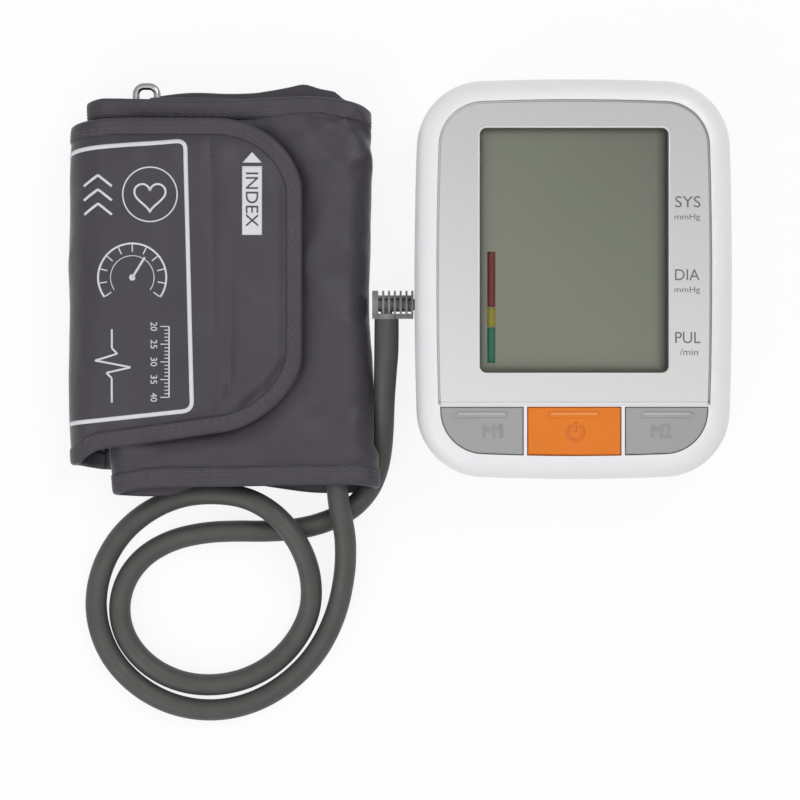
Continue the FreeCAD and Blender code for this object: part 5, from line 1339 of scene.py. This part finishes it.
def windowRing(name, profile, finish):
    # A profile of (outward, height) carried round the window's rounded rectangle
    rows = []
    for signs, first in [((1, -1), -90), ((1, 1), 0), ((-1, 1), 90), ((-1, -1), 180)]:
        turn = np.radians(np.linspace(first, first + 90, 9))
        aim = np.stack([np.cos(turn), np.sin(turn)], axis=-1)
        spot = np.array(signs) * (window["size"] / 2 - window["corner"]) + window["middle"]
        rows.append(np.stack([spot + window["corner"] * aim, aim], axis=1))
    ring = np.vstack(rows)
    out, height = np.array(profile).T
    flat = ring[:, :1] + ring[:, 1:] * out[:, None]
    points = np.dstack([flat, np.broadcast_to(height, flat.shape[:2])])
    piece = putPiece(name, points, gridQuads(*flat.shape[:2], loop=True, ring=True).tolist(), finish)
    settle(piece, "monitor")
    return piece


# The dark lining is painted shade on the window's inner wall
linerOut, linerIn = window["shadeLining"]
linerLow, linerTop = lensHigh[2] + 0.03, panelHigh[2] - 0.15
linerPiece = windowRing("windowShadeLining", [(linerOut, linerLow), (linerOut, linerTop), (linerIn, linerTop),
                                        (linerIn, linerLow)],
                        mouldedFinish("windowShadeGrey", ink(58, 60, 55), 0.6, 0.5, 0.01))
linerPiece.data.polygons.foreach_set("use_smooth", np.zeros(len(linerPiece.data.polygons), bool))
# The bead's pale colour is a painted highlight on the window's bevel
windowRing("windowLip", [(out, panelHigh[2] + rise) for out, rise in window["lip"]],
           mouldedFinish("lipHighlightSilver", ink(226, 226, 224), 0.4, 0.5, 0.01))

# Painted shade in the panel's groove: grey, paler on the left than on the right
grooveShade = {"inner": 0.04, "outer": 0.86, "height": 0.6, "left": (204, 204, 206), "right": (164, 164, 166)}


def grooveShadeFinish():
    # Grey bar as painted shade in the groove: paler on the left, darker on the right
    left, right = ink(*grooveShade["left"]), ink(*grooveShade["right"])
    finish, shader = startFinish("grooveShadeGrey", right, 0.6)
    where = place(finish)
    along = addNode(finish, "SeparateXYZ", Vector=where).outputs["X"]
    tint(finish, shader, remap(finish, along, panelLow[0] * mm, panelHigh[0] * mm), left, right)
    relief(finish, shader, noise(finish, where, 0.5, 3), 0.01)
    return finish


def makeGrooveShade():
    # A grey bar in the gap beside the panel, as painted shade: a flat bar along the panel's own outline,
    # from its left front corner round the back to its right front corner
    spots = np.unique((pointsOf(nodes["face_panel"].data) / mm).round(3), axis=0)
    off = spots[:, :2] - window["middle"]
    outer = (abs(off) > window["size"] / 2 + 2).any(axis=1) & (spots[:, 2] > panelHigh[2] - 0.05)
    outer = outer & ((spots[:, 1] > panelLow[1] + 0.1) | (abs(off[:, 0]) > off[:, 0].max() - 3))
    line = spots[outer][np.argsort(np.arctan2(off[outer, 0], off[outer, 1]))]
    x, y = evenSpaced(line[:, 0], line[:, 1], 1.5)
    ahead = headingOf(x, y)
    out = np.array([grooveShade["inner"], grooveShade["outer"], grooveShade["outer"], grooveShade["inner"]])
    height = panelLow[2] + np.array([0.02, 0.02, grooveShade["height"], grooveShade["height"]])
    points = np.stack([x[:, None] - out * ahead[1][:, None], y[:, None] + out * ahead[0][:, None],
                       height + 0 * x[:, None]], axis=-1)
    settle(putPiece("panelGrooveShade", points, tubeFaces(len(x), 4), grooveShadeFinish()), "monitor")


makeGrooveShade()
sill = {"ends": (15.6, 112.5), "y": -45.39, "width": 0.84, "sunk": 0.6, "rise": 0.55}   # bar below the panel
sillPiece = strokePiece("panelSill", [([(x, sill["y"]) for x in sill["ends"]], sill["width"])], flatPoint,
                        layerOn(panelHigh[2], sill["sunk"], sill["rise"]), finishes["housing_white"])
settle(sillPiece, "monitor")
print("face marked")
